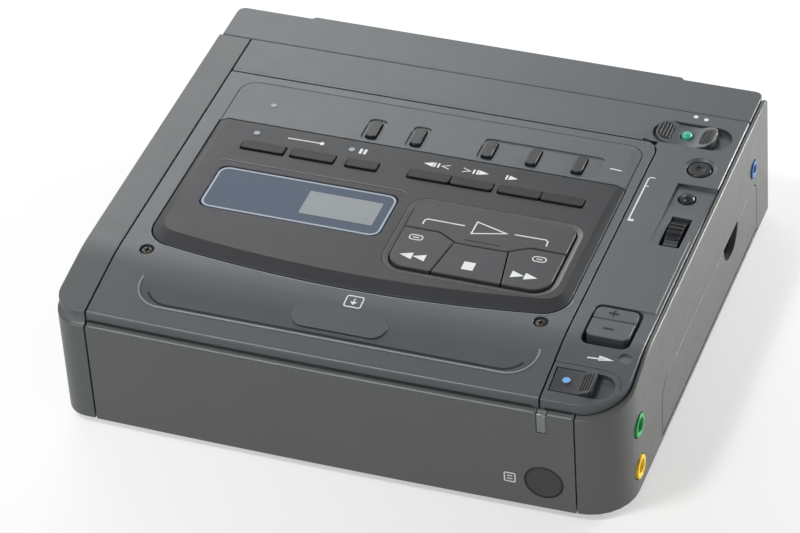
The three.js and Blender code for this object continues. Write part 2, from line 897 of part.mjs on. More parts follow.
/** The four transport keys, cut from one rounded block along its three gaps. */
function makeTransportKeys() {
  const whole = prism(clusterPlan(0), keyBottom, plateauTop + clusterRise);
  const sideY = clusterRear - playDepth * along;
  const bellyY = sideY - playBelly * along;
  const shoulders = [clusterX0 + playShoulder * across, clusterX1 - playShoulder * across];
  const bellies = [shoulders[0] + playSlope * across, shoulders[1] - playSlope * across];
  const edge = (offset) => [
    [farLeft, sideY + offset], [shoulders[0], sideY + offset], [bellies[0], bellyY + offset],
    [bellies[1], bellyY + offset], [shoulders[1], sideY + offset], [farRight, sideY + offset],
  ];
  const rearPart = prism([...edge(gap / 2), [farRight, farBack], [farLeft, farBack]], -overrun, farTop);
  const frontPart = prism([[farLeft, farFront], [farRight, farFront], ...edge(-gap / 2).reverse()],
    -overrun, farTop);
  const lean = stopLean * across;
  const between = (x0, x1) => prism([
    [x0 - lean, clusterFront - clusterRim], [x1 + lean, clusterFront - clusterRim],
    [x1, sideY], [x0, sideY]], -overrun, farTop);
  const stopPart = between(bellies[0] + gap / 2, bellies[1] - gap / 2);
  const stopHole = between(bellies[0] - gap / 2, bellies[1] + gap / 2);
  const middle = (bellies[0] + bellies[1]) / 2;
  const front = whole.intersect(frontPart);
  const sides = front.subtract(stopHole);
  return {
    play_key: whole.intersect(rearPart),
    rewind_key: sides.intersect(block(farLeft, middle, farFront, farBack, -overrun, farTop)),
    stop_key: front.intersect(stopPart),
    fast_forward_key: sides.intersect(block(middle, farRight, farFront, farBack, -overrun, farTop)),
  };
}

/** The tray under the lid that carries the keys' contacts. */
function makeKeyTray() {
  const outer = plateauPlan(-trayRim, -trayRim, -trayRim);
  const inner = plateauPlan(trayRimWidth - trayRim, trayRimWidth - trayRim, trayRimWidth - trayRim);
  const limit = prism(lidPlan(-trayRim), -overrun, farTop).intersect(under(topAt, plate + gap));
  const screws = lidScrewPlaces().map((x) => post(x, lidScrewY, lidScrewRadius + gap, -overrun, farTop));
  let tray = prism(outer, trayTop - trayWall, keyFlangeTop)
    .subtract(prism(inner, trayTop, farTop))
    .intersect(limit);
  for (const screw of screws) tray = tray.subtract(screw);
  return tray;
}

/** The sheet-metal channel that takes the cassette, with its two pivot pins. */
function makeCassetteHolder() {
  const x0 = lidCentre - holderHalf;
  const x1 = lidCentre + holderHalf;
  const outer = block(x0, x1, holderFront, holderRear, cassetteFloor - sheet, holderTop);
  const inside = block(x0 + sheet, x1 - sheet, holderFront - overrun, holderRear + overrun,
    cassetteFloor, cassetteTop);
  const floorCut = block(x0 + lipWidth, x1 - lipWidth, holderFront - overrun, holderRear + overrun,
    -overrun, cassetteFloor + sheet);
  const window = prism(rounded(x0 + holderWindowInset, x1 - holderWindowInset,
    holderFront + holderWindowInset, holderRear - holderWindowInset, holderWindowRadius),
  cassetteTop - sheet, farTop);
  const pins = [
    barX(holderPinY, holderPinZ, holderPinRadius, x0 - holderPinReach, x0 + sheet / 2),
    barX(holderPinY, holderPinZ, holderPinRadius, x1 - sheet / 2, x1 + holderPinReach),
  ];
  return outer.subtract(inside).subtract(floorCut).subtract(window).add(pins[0]).add(pins[1]);
}

function makeTopPanel() {
  let panel = topSlab
    .intersect(block(leftSeam + gap / 2, farRight, farFront, backSeam - gap / 2, -overrun, farTop))
    .add(skirt.intersect(block(lidRight, farRight, farFront, backSeam, -overrun, farTop)))
    .subtract(prism(lidPlan(lidGap), -overrun, farTop));
  panel = panel.subtract(prism(stadium(powerX, powerY, powerLength, powerWidth), topHeight - wellDepth,
    farTop));
  panel = panel.subtract(block(powerStemX - sliderGap, powerStemX + powerStemLength + powerTravel + sliderGap,
    powerY - powerStemWidth / 2 - sliderGap, powerY + powerStemWidth / 2 + sliderGap, -overrun, farTop));
  panel = panel.subtract(turnedAt(linkX, linkY, [[0, topHeight - linkBowlDepth],
    [linkRadius, topHeight - linkBowlDepth], [linkBowlRadius, topHeight], [linkBowlRadius, farTop],
    [0, farTop]]));
  panel = panel.subtract(post(linkX, linkY, linkRadius + gap, -overrun, farTop));
  const trenchRamp = alongX([[trenchY0, topHeight], [trenchY1, topHeight - trenchDepth], [trenchY1, farTop],
    [trenchY0, farTop]], trenchX0, farRight);
  panel = panel.subtract(trenchRamp);
  panel = panel.subtract(post(menuX, menuY, menuRadius + gap, -overrun, farTop, smallSides));
  panel = panel.subtract(block(dialX - dialSlotWidth / 2, dialX + dialSlotWidth / 2,
    dialY - dialSlotLength / 2, dialY + dialSlotLength / 2, -overrun, farTop));
  const tub = volumePrism(volumeWall, topHeight - rockerDepth - volumeFloor, plateUnder + plate / 2)
    .subtract(prism(lidPlan(lidGap), -overrun, farTop));
  panel = panel.add(tub).subtract(volumePrism(0, topHeight - rockerDepth, farTop));
  const stepFront = [volumeY - volumeHalf, topHeight];
  const stepRear = [volumeY + volumeHalf, topHeight - volumeStep];
  panel = panel.subtract(alongX([stepFront, stepRear, [volumeY + volumeHalf, farTop],
    [volumeY - volumeHalf, farTop]], volumeX, farRight));
  panel = panel.subtract(alongX([stepFront, stepRear, [trenchY1, topHeight - volumeStep],
    [trenchY1, farTop], [volumeY - volumeHalf, farTop]], upperRight - volumeStepInset, farRight));
  const pinY = volumeY + rockerShift;
  const pinZ = topHeight - rockerDepth / 2;
  panel = panel.subtract(barX(pinY, pinZ, hingeBoreRadius, volumeX - volumeWidth / 2 - volumeWall / 2,
    volumeX + volumeWidth / 2 + volumeWall / 2));
  const guideX = dialX - dialFrameHalf - gap;
  panel = panel.add(block(guideX - dialGuide, guideX, dialY - dialFrameDepth / 2, dialY + dialFrameDepth / 2,
    dialZ - dialRadius, plateUnder + plate / 4));
  panel = panel.subtract(prism(ejectPlan(0), -overrun, farTop).subtract(under(topAt, wellDepth)));
  panel = panel.subtract(block(ejectStemX0 - sliderGap, ejectStemX1 + ejectTravel + sliderGap,
    ejectY - ejectStemWidth / 2 - sliderGap, ejectY + ejectStemWidth / 2 + sliderGap, -overrun, farTop));
  panel = panel.subtract(prism(ejectPlan(-ejectLipReach), -overrun, farTop)
    .subtract(prism(ejectPlan(ejectLipGroove - ejectLipReach), -overrun, farTop))
    .intersect(block(farLeft, farRight, ejectY, farBack, -overrun, farTop))
    .subtract(under(topAt, ejectLipDepth)));
  const dimpleFloor = topAt(dimpleY) - dimpleDepth;
  panel = panel.subtract(post(dimpleX, dimpleY, dimpleRadius, dimpleFloor, farTop, smallSides));
  panel = panel.subtract(barX(hingeY, hingeZ, plate / 2 + gap, lidRight - lidCornerRadius,
    lidRight - hingeRelief, smallSides));
  const boreEnd = lidRight - gap / 2 + hingePinReach + gap;
  return panel.subtract(barX(hingeY, hingeZ, hingeBoreRadius, lidRight - lidCornerRadius, boreEnd));
}

/** The volume rocker's well, grown by an amount. */
function volumePrism(grow, z0, z1) {
  return prism(rounded(volumeX - volumeWidth / 2 - grow, volumeX + volumeWidth / 2 + grow,
    volumeY - volumeHalf - grow, volumeY + volumeHalf + grow, volumeRadius, cornerSteps), z0, z1);
}

/** A turned cutter set on an upright axis. */
function turnedAt(x, y, profile, sides = roundSides) {
  return turned(profile, sides).translate([x, y, 0]);
}

/** A slot in plan with round ends, its length along X. */
function stadium(x, y, length, width, grow = 0) {
  return rounded(x - length / 2 - grow, x + length / 2 + grow, y - width / 2 - grow, y + width / 2 + grow,
    width / 2 + grow, cornerSteps);
}

// Places of the right-hand controls
const powerX = upperRight - powerInset;
const powerY = backSeam - powerRow * beside;
const powerCentre = powerX - powerTravel / 2;
const powerStemX = powerCentre - powerStemLength / 2;
const linkX = upperRight - linkInset;
const linkY = backSeam - linkRow * beside;
const trenchX0 = upperRight - trenchWidth;
const trenchY1 = backSeam - trenchRear * beside;
const trenchY0 = trenchY1 - trenchLength * beside;
const menuX = upperRight - menuInset;
const menuY = backSeam - menuRow * beside;
const dialX = upperRight - dialInset;
const dialY = backSeam - dialRow * beside;
const volumeX = upperRight - volumeInset;
const volumeY = backSeam - volumeRow * beside;
const volumeHalf = volumeLength * beside / 2;
const rockerHalf = rockerLength * beside / 2;
const ejectX0 = upperRight - ejectInset;
const ejectY0 = upperFront + ejectFront;
const ejectY1 = ejectY0 + ejectWidth;
const ejectX1 = ejectX0 + ejectLength;
const ejectY = (ejectY0 + ejectY1) / 2;
const ejectStemX0 = ejectX0 + ejectStemInset;
const ejectStemX1 = ejectX0 + ejectPlateLength - ejectTravel - sliderGap - ejectStemInset;
const dimpleX = upperRight - dimpleInset;
const dimpleY = frontY + dimpleFront * beside;

/** The recess floor's height on the ramp around the menu button and the dial. */
function trenchAt(y) {
  return topHeight - trenchDepth * (y - trenchY0) / (trenchY1 - trenchY0);
}

/** The eject slot's plan: square on the left, round on the right. */
function ejectPlan(inset) {
  const radius = ejectWidth / 2 - inset;
  return plan({ left: ejectX0 + inset, right: ejectX1 - inset, front: ejectY0 + inset,
    back: ejectY1 - inset, frontRight: radius, rearRight: radius });
}

/** The power slider: a saddle whose two ends rise to a crest, a stem through the well and a flange. */
function makePowerSlider() {
  const length = powerLength - powerTravel - 2 * powerEndRoom;
  const width = powerWidth - 2 * sliderGap;
  const x0 = powerCentre - length / 2;
  const x1 = powerCentre + length / 2;
  const capLow = topHeight - wellDepth + sliderLift;
  const flat = topHeight - saddleDrop;
  const crest = topHeight + saddleRise;
  const low = plateUnder - gap - sliderFlangeThickness;
  const saddle = alongY([[x0, capLow], [x1, capLow], [x1, crest], [x1 - saddleRun, flat],
    [x0 + saddleRun, flat], [x0, crest]], powerY - width, powerY + width);
  const cap = prism(rounded(x0, x1, powerY - width / 2, powerY + width / 2, powerCorner, cornerSteps),
    capLow, farTop).intersect(saddle);
  const stemHalf = powerStemWidth / 2;
  const stem = block(powerStemX, powerStemX + powerStemLength, powerY - stemHalf, powerY + stemHalf, low,
    capLow + sliderLift);
  const flange = prism(rounded(powerStemX - sliderFlange, powerStemX + powerStemLength + sliderFlange,
    powerY - stemHalf - sliderFlange, powerY + stemHalf + sliderFlange, sliderFlange), low, plateUnder - gap);
  return cap.add(stem).add(flange)
    .subtract(post(powerCentre, powerY, lockRadius + gap, -overrun, farTop, smallSides));
}

/** A domed button on an upright axis, from its skirt to its crown. */
function dome(x, y, radius, z0, z1, crown) {
  const steps = smallSteps + 1;
  const profile = [[0, z0], [radius, z0], [radius, z1 - crown]];
  for (let i = 1; i <= steps; i += 1) {
    const angle = Math.PI / 2 * i / steps;
    profile.push([i === steps ? 0 : radius * Math.cos(angle), z1 - crown + crown * Math.sin(angle)]);
  }
  return turnedAt(x, y, profile, smallSides);
}

function makeLockButton() {
  const bottom = plateUnder - gap - sliderFlangeThickness;
  return dome(powerCentre, powerY, lockRadius, bottom, topHeight - saddleDrop + lockRise, lockRise);
}

function makeLinkButton() {
  const top = topHeight - linkBowlDepth + linkRise;
  return turnedAt(linkX, linkY, [[0, plateUnder - gap], [linkRadius, plateUnder - gap],
    [linkRadius, top - linkDimpleDepth], [linkRadius - linkDimpleDepth, top], [linkDimpleRadius, top],
    [linkDimpleRadius - linkDimpleDepth, top - linkDimpleDepth], [0, top - linkDimpleDepth]]);
}

function makeMenuButton() {
  return dome(menuX, menuY, menuRadius, plateUnder - gap, trenchAt(menuY) + menuRise, menuRise);
}

const dialZ = trenchAt(dialY) + dialRise - dialRadius;
const dialHalf = dialSlotWidth / 2 - dialSideGap;
const dialFrameHalf = dialHalf + dialGap + dialCheek;

/** The ribbed wheel: two points per rib on its rim, and a bore for the axle. */
function makeDialWheel() {
  const rim = [];
  for (let i = 0; i < dialTeeth; i += 1) {
    for (const [share, radius] of [[0, dialRadius], [0.5, dialRadius], [0.5, dialRadius - dialToothDepth],
      [1, dialRadius - dialToothDepth]]) {
      const angle = 2 * Math.PI * (i + share * 0.98) / dialTeeth;
      rim.push([dialY + radius * Math.cos(angle), dialZ + radius * Math.sin(angle)]);
    }
  }
  return alongX(rim, dialX - dialHalf, dialX + dialHalf)
    .subtract(barX(dialY, dialZ, dialBore, dialX - dialSlotWidth, dialX + dialSlotWidth, smallSides));
}

/** The sprung frame that carries the wheel: two cheeks, an axle and a foot. */
function makeDialFrame() {
  const inner = dialHalf + dialGap;
  const outer = dialFrameHalf;
  const top = dialZ + dialAxleRadius * 2;
  const bottom = dialZ - dialRadius - dialGap - dialCheek;
  const cheeks = block(dialX - outer, dialX + outer, dialY - dialFrameDepth / 2, dialY + dialFrameDepth / 2,
    bottom, top)
    .subtract(block(dialX - inner, dialX + inner, farFront, farBack, bottom + dialCheek, farTop));
  return cheeks.add(barX(dialY, dialZ, dialAxleRadius, dialX - outer, dialX + outer));
}

/** The volume rocker, with a groove across its middle and two pivot stubs. */
function makeVolumeRocker() {
  const y = volumeY + rockerShift;
  const z0 = topHeight - rockerDepth + volumeFloor / 2;
  const top = topHeight + rockerRise;
  const body = prism(rounded(volumeX - rockerWidth / 2, volumeX + rockerWidth / 2, y - rockerHalf,
    y + rockerHalf, rockerRadius, cornerSteps), z0, top);
  const grooveY = y + rockerGrooveShift;
  const groove = block(farLeft, farRight, grooveY - rockerGrooveWidth / 2, grooveY + rockerGrooveWidth / 2,
    top - rockerGroove, farTop);
  const reach = (volumeWidth + volumeWall) / 2 - gap;
  return body.subtract(groove)
    .add(barX(y, topHeight - rockerDepth / 2, hingePinRadius, volumeX - reach, volumeX + reach));
}

/** The eject slider on the slope: a plate with a wedge at its right end, a stem and a flange. */
function makeEjectSlider() {
  const x1 = ejectX0 + ejectPlateLength;
  const cap = prism(plan({ left: ejectX0 + sliderGap, right: x1, front: ejectY0 + sliderGap,
    back: ejectY1 - sliderGap, frontRight: ejectCorner, rearRight: ejectCorner, steps: smallSteps }),
  -overrun, farTop);
  const flat = cap.intersect(under(topAt, 0)).subtract(under(topAt, wellDepth - sliderLift));
  const lean = THREE.MathUtils.radToDeg(Math.atan2(topAt(ejectY1) - topAt(ejectY0), ejectWidth));
  const wedge = alongY([[x1 - ejectRampRun, 0], [x1 - ejectRampRun, -plate], [x1 + plate, -plate],
    [x1 + plate, ejectRampRise], [x1 - ejectCrest, ejectRampRise]], -ejectWidth, ejectWidth)
    .rotate([lean, 0, 0]).translate([0, ejectY, topAt(ejectY)]);
  const grip = cap.intersect(wedge).subtract(under(topAt, wellDepth - sliderLift));
  const half = ejectStemWidth / 2;
  const stem = block(ejectStemX0, ejectStemX1, ejectY - half, ejectY + half, -overrun, farTop)
    .intersect(under(topAt, wellDepth - 2 * sliderLift))
    .subtract(under(topAt, plate + gap + sliderFlangeThickness));
  const flange = prism(rounded(ejectStemX0, ejectStemX1, ejectY - half - sliderFlange,
    ejectY + half + sliderFlange, sliderFlange), -overrun, farTop)
    .intersect(under(topAt, plate + gap)).subtract(under(topAt, plate + gap + sliderFlangeThickness));
  const dotX = ejectX0 + ejectPlateLength / 3;
  const dotTop = topAt(ejectY) + ejectDotRise;
  const dot = post(dotX, ejectY, ejectDotRadius, dotTop - plate / 2, dotTop, smallSides);
  return flat.add(grip).add(stem).add(flange).add(dot);
}

function makeFrontPanel() {
  let panel = ringShell.intersect(block(leftSeam + gap / 2, frontSeam - gap / 2, farFront,
    frontY + cornerRightRadius, -overrun, farTop));
  const bore = (radius, y0, y1) => barY2(irX, irHeight, radius, y0, y1);
  panel = panel.subtract(bore(irRadius + gap / 2, farFront, farBack));
  return panel.subtract(lampCut(gap / 2));
}

const irX = frontSeam - irInset;
const lampX = frontSeam - lampInset;

/** A round bar along Y with the sides of a large circle. */
function barY2(x, z, radius, y0, y1) {
  const geometry = new THREE.CylinderGeometry(radius, radius, y1 - y0, roundSides);
  geometry.translate(x, (y0 + y1) / 2, z);
  return toSolid(geometry);
}

/** The outer skin of the lower body, a thickness deep, at the front. */
function frontSkin(thickness) {
  return lowerBody.subtract(lowerBody.translate([0, thickness, 0]));
}

function makeIrWindow() {
  return frontSkin(irThickness).intersect(barY2(irX, irHeight, irRadius, farFront, 0));
}

/** The slot for the lamp's light pipe, which wraps over the panel's upper edge. */
function lampCut(grow) {
  const x0 = lampX - lampWidth / 2 - grow;
  const x1 = lampX + lampWidth / 2 + grow;
  const top = ringAt(frontY);
  const face = block(x0, x1, farFront, frontY + lampThickness + grow, top - lampHeight - grow, farTop);
  const over = block(x0, x1, farFront, frontY + lampReach + grow, top - lampThickness - grow, farTop);
  return face.add(over);
}

function makeChargeLamp() {
  return lampCut(0).intersect(lowerBody);
}

function makeLeftCover() {
  const voids = prism(lowerPlan({ left: wall, right: wall, front: wall, back: -overrun }), -overrun, farTop)
    .intersect(under(ringAt, ringDepth))
    .add(prism(plan({ left: -halfWidth + wall, right: farRight, front: upperFront + wall, back: farBack,
      frontLeft: cornerLeftRadius - wall }), -overrun, farTop).intersect(under(topAt, plate)));
  return lowerBody.add(upperBody).subtract(voids)
    .intersect(block(farLeft, leftSeam + gap / 2 - lidGap, farFront, backSeam - gap / 2, -overrun, farTop))
    .subtract(barX(hingeY, hingeZ, hingeBoreRadius, leftSeam - gap - hingePinReach, lidRight));
}

/** A jack: a coloured ring, a barrel behind it and a bore that stops inside. */
function jackSolid(y, z, radius) {
  const face = sideAt(z);
  const back = jackLength - wall / 2;
  const mouth = radius - jackRing;
  const bore = mouth - jackMouthStep;
  const turnedJack = turned([[0, -jackLength], [jackBarrelRadius, -jackLength],
    [jackBarrelRadius, -wall - jackFlange], [radius, -wall - jackFlange], [radius, jackProud],
    [mouth, jackProud], [bore, jackProud - jackMouthDepth], [bore, -back], [0, -back]], smallSides);
  return turnedJack.rotate([0, 90, 0]).translate([face, y, z]);
}

const jackY = frontY + jackFront * beside;
const remoteY = backY - remoteBack * beside;
const videoY = doorY1 - videoSocketBack * beside;
const digitalY = doorY1 - digitalBack * beside;
const pocketX = halfWidth - pocketDepth;

function makeRightCover() {
  const rightOf = block(frontSeam + gap / 2, farRight, farFront, farBack, -overrun, farTop);
  const wallBlock = block(pocketX - pocketWall, innerSide + wall / 2, doorY0 - pocketMargin,
    doorY1 + pocketMargin, bottomWall + gap, doorTop + pocketMargin);
  let cover = ringShell.add(wallBlock).intersect(rightOf);
  cover = cover.subtract(block(farLeft, innerSide, backY - wall - gap, farBack, -overrun, farTop));
  cover = cover.subtract(alongX(doorOutline(doorGap), pocketX, farRight));
  cover = cover.subtract(barY(doorAxisX, doorAxisHeight, doorBarrelRadius + gap, doorY0 - doorGap,
    doorY1 + doorGap, smallSides));
  cover = cover.subtract(block(doorAxisX, farRight, doorY0 - doorGap, doorY1 + doorGap,
    doorAxisHeight - doorBarrelRadius - gap, doorAxisHeight + doorBarrelRadius));
  cover = cover.subtract(barY(doorAxisX, doorAxisHeight, doorPinBore, doorY0 - doorGap - doorPinReach - gap,
    doorY1 + doorGap + doorPinReach + gap));
  for (const [y, z, radius] of [[jackY, headphoneHeight, jackRadius], [jackY, lineHeight, jackRadius],
    [remoteY, remoteHeight, remoteRadius]]) {
    cover = cover.subtract(barX(y, z, radius + gap, innerSide - overrun, farRight, smallSides));
  }
  cover = cover.subtract(barX(videoY, portRow, videoSocketRadius + gap, pocketX - overrun, pocketX + gap,
    smallSides));
  return cover.subtract(block(pocketX - overrun, pocketX + gap, digitalY - digitalWidth / 2 - gap,
    digitalY + digitalWidth / 2 + gap, portRow - digitalHeight / 2 - gap, portRow + digitalHeight / 2 + gap));
}

/** The long door over the side sockets, with a barrel and pins along its lower edge. */
function makeJackDoor() {
  const skin = lowerBody.subtract(lowerBody.translate([-doorThickness, 0, 0]));
  const leaf = skin.intersect(alongX(doorOutline(0), doorAxisX - doorThickness, farRight));
  const notch = barX(doorNotchY, doorTop, doorNotchRadius, 0, farRight, roundSides);
  return leaf.subtract(notch)
    .add(barY(doorAxisX, doorAxisHeight, doorBarrelRadius, doorY0, doorY1, smallSides))
    .add(barY(doorAxisX, doorAxisHeight, doorPinRadius, doorY0 - doorPinReach, doorY1 + doorPinReach));
}

/** The round video socket on the pocket's floor. */
function makeVideoSocket() {
  return barX(videoY, portRow, videoSocketRadius, pocketX - portDepth, pocketX + portReach, smallSides)
    .subtract(barX(videoY, portRow, videoSocketRadius - sheet, pocketX - portDepth / 2, farRight, smallSides))
    .add(barX(videoY, portRow, sheet, pocketX - portDepth, pocketX + portReach / 2, pinSides));
}

/** The flat digital socket beside it. */
function makeDigitalSocket() {
  const y0 = digitalY - digitalWidth / 2;
  const y1 = digitalY + digitalWidth / 2;
  const rise = digitalHeight / 2;
  return block(pocketX - portDepth, pocketX + portReach, y0, y1, portRow - rise, portRow + rise)
    .subtract(block(pocketX - portDepth / 2, farRight, y0 + sheet, y1 - sheet, portRow - rise + sheet,
      portRow + rise - sheet));
}

/** The back cover's outline: a shallow raised stretch in the middle of the back. */
function backPlan(inset) {
  const left = -halfWidth + backCapInset + inset;
  const right = upperRight;
  const back = backY - inset;
  const proud = backY + backProud - inset;
  const step = backProud;
  return [
    [left, backSeam - wall], [right, backSeam - wall],
    ...arc(right - rearRadius, back - rearRadius, rearRadius, 0, 90, smallSteps),
    [halfWidth - proudRightInset - inset + step, back], [halfWidth - proudRightInset - inset, proud],
    [-halfWidth + proudLeftInset + inset, proud], [-halfWidth + proudLeftInset + inset - step, back],
    ...arc(left + rearRadius, back - rearRadius, rearRadius, 90, 180, smallSteps),
  ];
}

const mountX = (proudLeftInset - proudRightInset) / 2;
const mountBack = backY + backProud;

/** The battery mount's outline in X and Z, grown by an amount. */
function mountOutline(grow) {
  return rounded(mountX - mountWidth / 2 - grow, mountX + mountWidth / 2 + grow, mountSill - grow,
    mountSill + mountHeight + grow, mountRadius, smallSteps);
}

const latchZ = mountSill + mountHeight - railSlotInset - latchHeight;

/** The latch's block in the mount, grown by an amount. */
function latchBlock(grow, y0, y1) {
  return block(mountX - latchWidth / 2 - grow, mountX + latchWidth / 2 + grow, y0, y1,
    latchZ - grow, latchZ + latchHeight + grow);
}

function makeBackCover() {
  const rightLimit = innerSide - gap;
  const inside = prism(backPlan(wall), -overrun, plateUnder)
    .add(block(rightLimit - wall, farRight, farFront, backY - wall, -overrun, plateUnder))
    .add(block(rightLimit, farRight, farFront, farBack, -overrun, plateUnder))
    .add(block(farLeft, farRight, farFront, backSeam + wall, -overrun, plateUnder));
  const pit = alongY(mountOutline(gap), mountBack - mountSink - mountThickness - gap, farBack);
  return prism(backPlan(0), 0, topHeight)
    .intersect(block(farLeft, farRight, backSeam + gap / 2, farBack, -overrun, farTop))
    .subtract(inside)
    .subtract(pit)
    .subtract(latchBlock(gap, backSeam, farBack));
}

/** The plate that a battery slides onto: four rail slots and a raised terminal block. */
function makeBatteryPlate() {
  const face = mountBack - mountSink;
  let plateSolid = alongY(mountOutline(0), face - mountThickness, face);
  for (const side of [-1, 1]) {
    for (const z of [mountSill + railSlotInset, mountSill + mountHeight - railSlotInset]) {
      const x = mountX + side * (mountWidth / 2 - railSlotInset);
      plateSolid = plateSolid.subtract(block(x - railSlotWidth / 2, x + railSlotWidth / 2,
        face - mountThickness / 2, farBack, z - railSlotHeight / 4, z + railSlotHeight / 4));
    }
  }
  const terminalZ = mountSill + railSlotInset - terminalHeight / 2;
  plateSolid = plateSolid.add(block(mountX - terminalWidth / 2, mountX + terminalWidth / 2,
    face - mountThickness / 2, face + terminalRise, terminalZ, terminalZ + terminalHeight));
  const slotLow = terminalZ + terminalSlot;
  const slotHigh = terminalZ + terminalHeight - terminalSlot;
  for (const step of [-1, 0, 1]) {
    const x = mountX + step * terminalPitch;
    plateSolid = plateSolid.subtract(block(x - terminalSlot / 2, x + terminalSlot / 2,
      face - mountThickness / 2, farBack, slotLow, slotHigh));
  }
  return plateSolid.subtract(latchBlock(gap, farFront, farBack));
}

function makeBatteryLatch() {
  const tip = mountBack - latchSetback;
  const low = latchZ;
  const high = latchZ + latchHeight;
  return latchBlock(0, tip - latchDepth, tip)
    .subtract(alongX([[tip - mountSink, high + gap], [tip + gap, high + gap], [tip + gap, low]],
      mountX - latchWidth, mountX + latchWidth));
}

/** The four places where the bosses stand, under the corners of the deck. */
function bossPlaces() {
  const places = [];
  for (const x of [lidCentre - chassisHalf + bossInset, lidCentre + chassisHalf - bossInset]) {
    for (const y of [chassisFront + bossInset, chassisRear - bossInset]) places.push([x, y]);
  }
  return places;
}

function footPlaces() {
  const places = [];
  for (const x of [-halfWidth + footInset, halfWidth - footInset]) {
    for (const y of [frontY + footInset, backY - footInset]) places.push([x, y]);
  }
  return places;
}

function screwPlaces() {
  return [[-halfWidth + screwInset, 0], [halfWidth - screwInset - wall, 0], [0, frontY + screwInset],
    [0, backY - screwInset - backCapInset]];
}

function makeBottomCover() {
  const outline = plan({
    left: -halfWidth + backCapInset + wall + gap,
    right: innerSide - gap,
    front: frontY + wall + gap,
    back: backY - wall - gap,
    frontLeft: cornerLeftRadius - wall,
    frontRight: cornerRightRadius - wall,
    rearLeft: rearRadius,
    rearRight: rearRadius,
    bow: frontCrown,
  });
  let cover = prism(outline, 0, bottomWall);
  for (const [x, y] of bossPlaces()) {
    cover = cover.add(post(x, y, bossRadius, bottomWall / 2, boardZ - gap, smallSides));
    cover = cover.add(post(x, y, bossPinRadius, bottomWall / 2, chassisHeight - gap, pinSides));
  }
  for (const [x, y] of footPlaces()) {
    cover = cover.subtract(post(x, y, footRadius + gap, -overrun, footPocket, smallSides));
  }
  for (const [x, y] of screwPlaces()) {
    cover = cover.subtract(post(x, y, screwRadius + gap, -overrun, screwSink + screwHeight, smallSides));
  }
  return cover;
}

function makeFoot([x, y]) {
  return post(x, y, footRadius - footPocket, -footLift, footPocket - gap, smallSides, footRadius);
}

function makeMainBoard() {
  let board = block(-halfWidth + wall + boardInset, halfWidth - boardRightInset, frontY + wall + boardInset,
    backY - wall - boardInset, boardZ, boardZ + boardThickness);
  for (const [x, y] of bossPlaces()) {
    board = board.subtract(post(x, y, bossPinRadius + gap, -overrun, farTop, smallSides));
  }
  return board;
}

const reelY = holderRear - reelRow;
const capstanX = lidCentre + capstanShift;
const capstanY = holderRear + capstanRow;
const pinchPivotX = lidCentre + pinchPivotShift;
const pinchPivotY = holderRear + pinchPivotRow;

function makeChassis() {
  let chassis = prism(rounded(lidCentre - chassisHalf, lidCentre + chassisHalf, chassisFront, chassisRear,
    chassisRadius), chassisHeight, chassisTop);
  for (const side of [-1, 1]) {
    const x0 = lidCentre + side * (bracketX + bracketThickness / 2) - bracketThickness / 2;
    const half = bracketDepth / 2;
    const crown = holderPinZ + bracketCrown;
    chassis = chassis.add(alongX([[holderPinY - half, chassisHeight], [holderPinY + half, chassisHeight],
      [holderPinY + half / 2, crown], [holderPinY - half / 2, crown]], x0, x0 + bracketThickness));
    chassis = chassis.subtract(barX(holderPinY, holderPinZ, holderPinBore, x0 - gap,
      x0 + bracketThickness + gap));
    chassis = chassis.subtract(post(lidCentre + side * reelSpacing / 2, reelY,
      reelShaftRadius + shaftClearance, -overrun, chassisTop + gap, smallSides));
  }
  return chassis.subtract(post(capstanX, capstanY, capstanRadius + shaftClearance, -overrun,
    chassisTop + gap, smallSides));
}

/** A drum piece on the tilted axis through the deck's drum place. */
function onDrumAxis(profile) {
  return turned(profile).rotate([drumTilt, 0, 0]).translate([lidCentre, drumY, chassisTop]);
}

function makeDrumBase() {
  const low = -drumRadius;
  return onDrumAxis([[0, low], [drumRadius, low], [drumRadius, drumBaseHeight],
    [drumShaftRadius, drumBaseHeight], [drumShaftRadius, drumBaseHeight - drumGap],
    [0, drumBaseHeight - drumGap]])
    .subtract(block(farLeft, farRight, farFront, farBack, -drumRadius - overrun, chassisTop + drumSeat));
}

function makeHeadDrum() {
  const low = drumBaseHeight + drumGap;
  const top = low + drumHeight;
  return onDrumAxis([[0, drumBaseHeight], [drumShaftRadius - drumGap, drumBaseHeight],
    [drumShaftRadius - drumGap, low], [drumRadius, low], [drumRadius, top],
    [drumCapRadius, top], [drumCapRadius, top + drumCapStep], [0, top + drumCapStep]]);
}

/** A reel table with its splined spindle, which stands in the cassette's hub. */
function makeReel(side) {
  const x = lidCentre + side * reelSpacing / 2;
  const low = chassisTop + reelLift;
  const tableTop = low + reelTableHeight;
  const top = tableTop + spindleHeight;
  let reel = turnedAt(x, reelY, [[0, low - reelShaftLength], [reelShaftRadius, low - reelShaftLength],
    [reelShaftRadius, low], [reelTableRadius, low], [reelTableRadius, tableTop], [spindleRadius, tableTop],
    [spindleRadius, top - spindleTip], [0, top]], smallSides + pinSides / 3);
  for (let i = 0; i < 3; i += 1) {
    const spline = block(0, spindleRadius + splineReach, -splineWidth / 2, splineWidth / 2,
      tableTop - splineWidth / 2, top - 2 * spindleTip);
    reel = reel.add(spline.rotate([0, 0, 120 * i]).translate([x, reelY, 0]));
  }
  return reel;
}

function makeCapstan() {
  const wheelTop = chassisHeight - flywheelGap;
  const wheelLow = wheelTop - flywheelThickness;
  return turnedAt(capstanX, capstanY, [[0, wheelLow], [flywheelRadius, wheelLow], [flywheelRadius, wheelTop],
    [capstanRadius, wheelTop], [capstanRadius, capstanTop], [0, capstanTop]]);
}

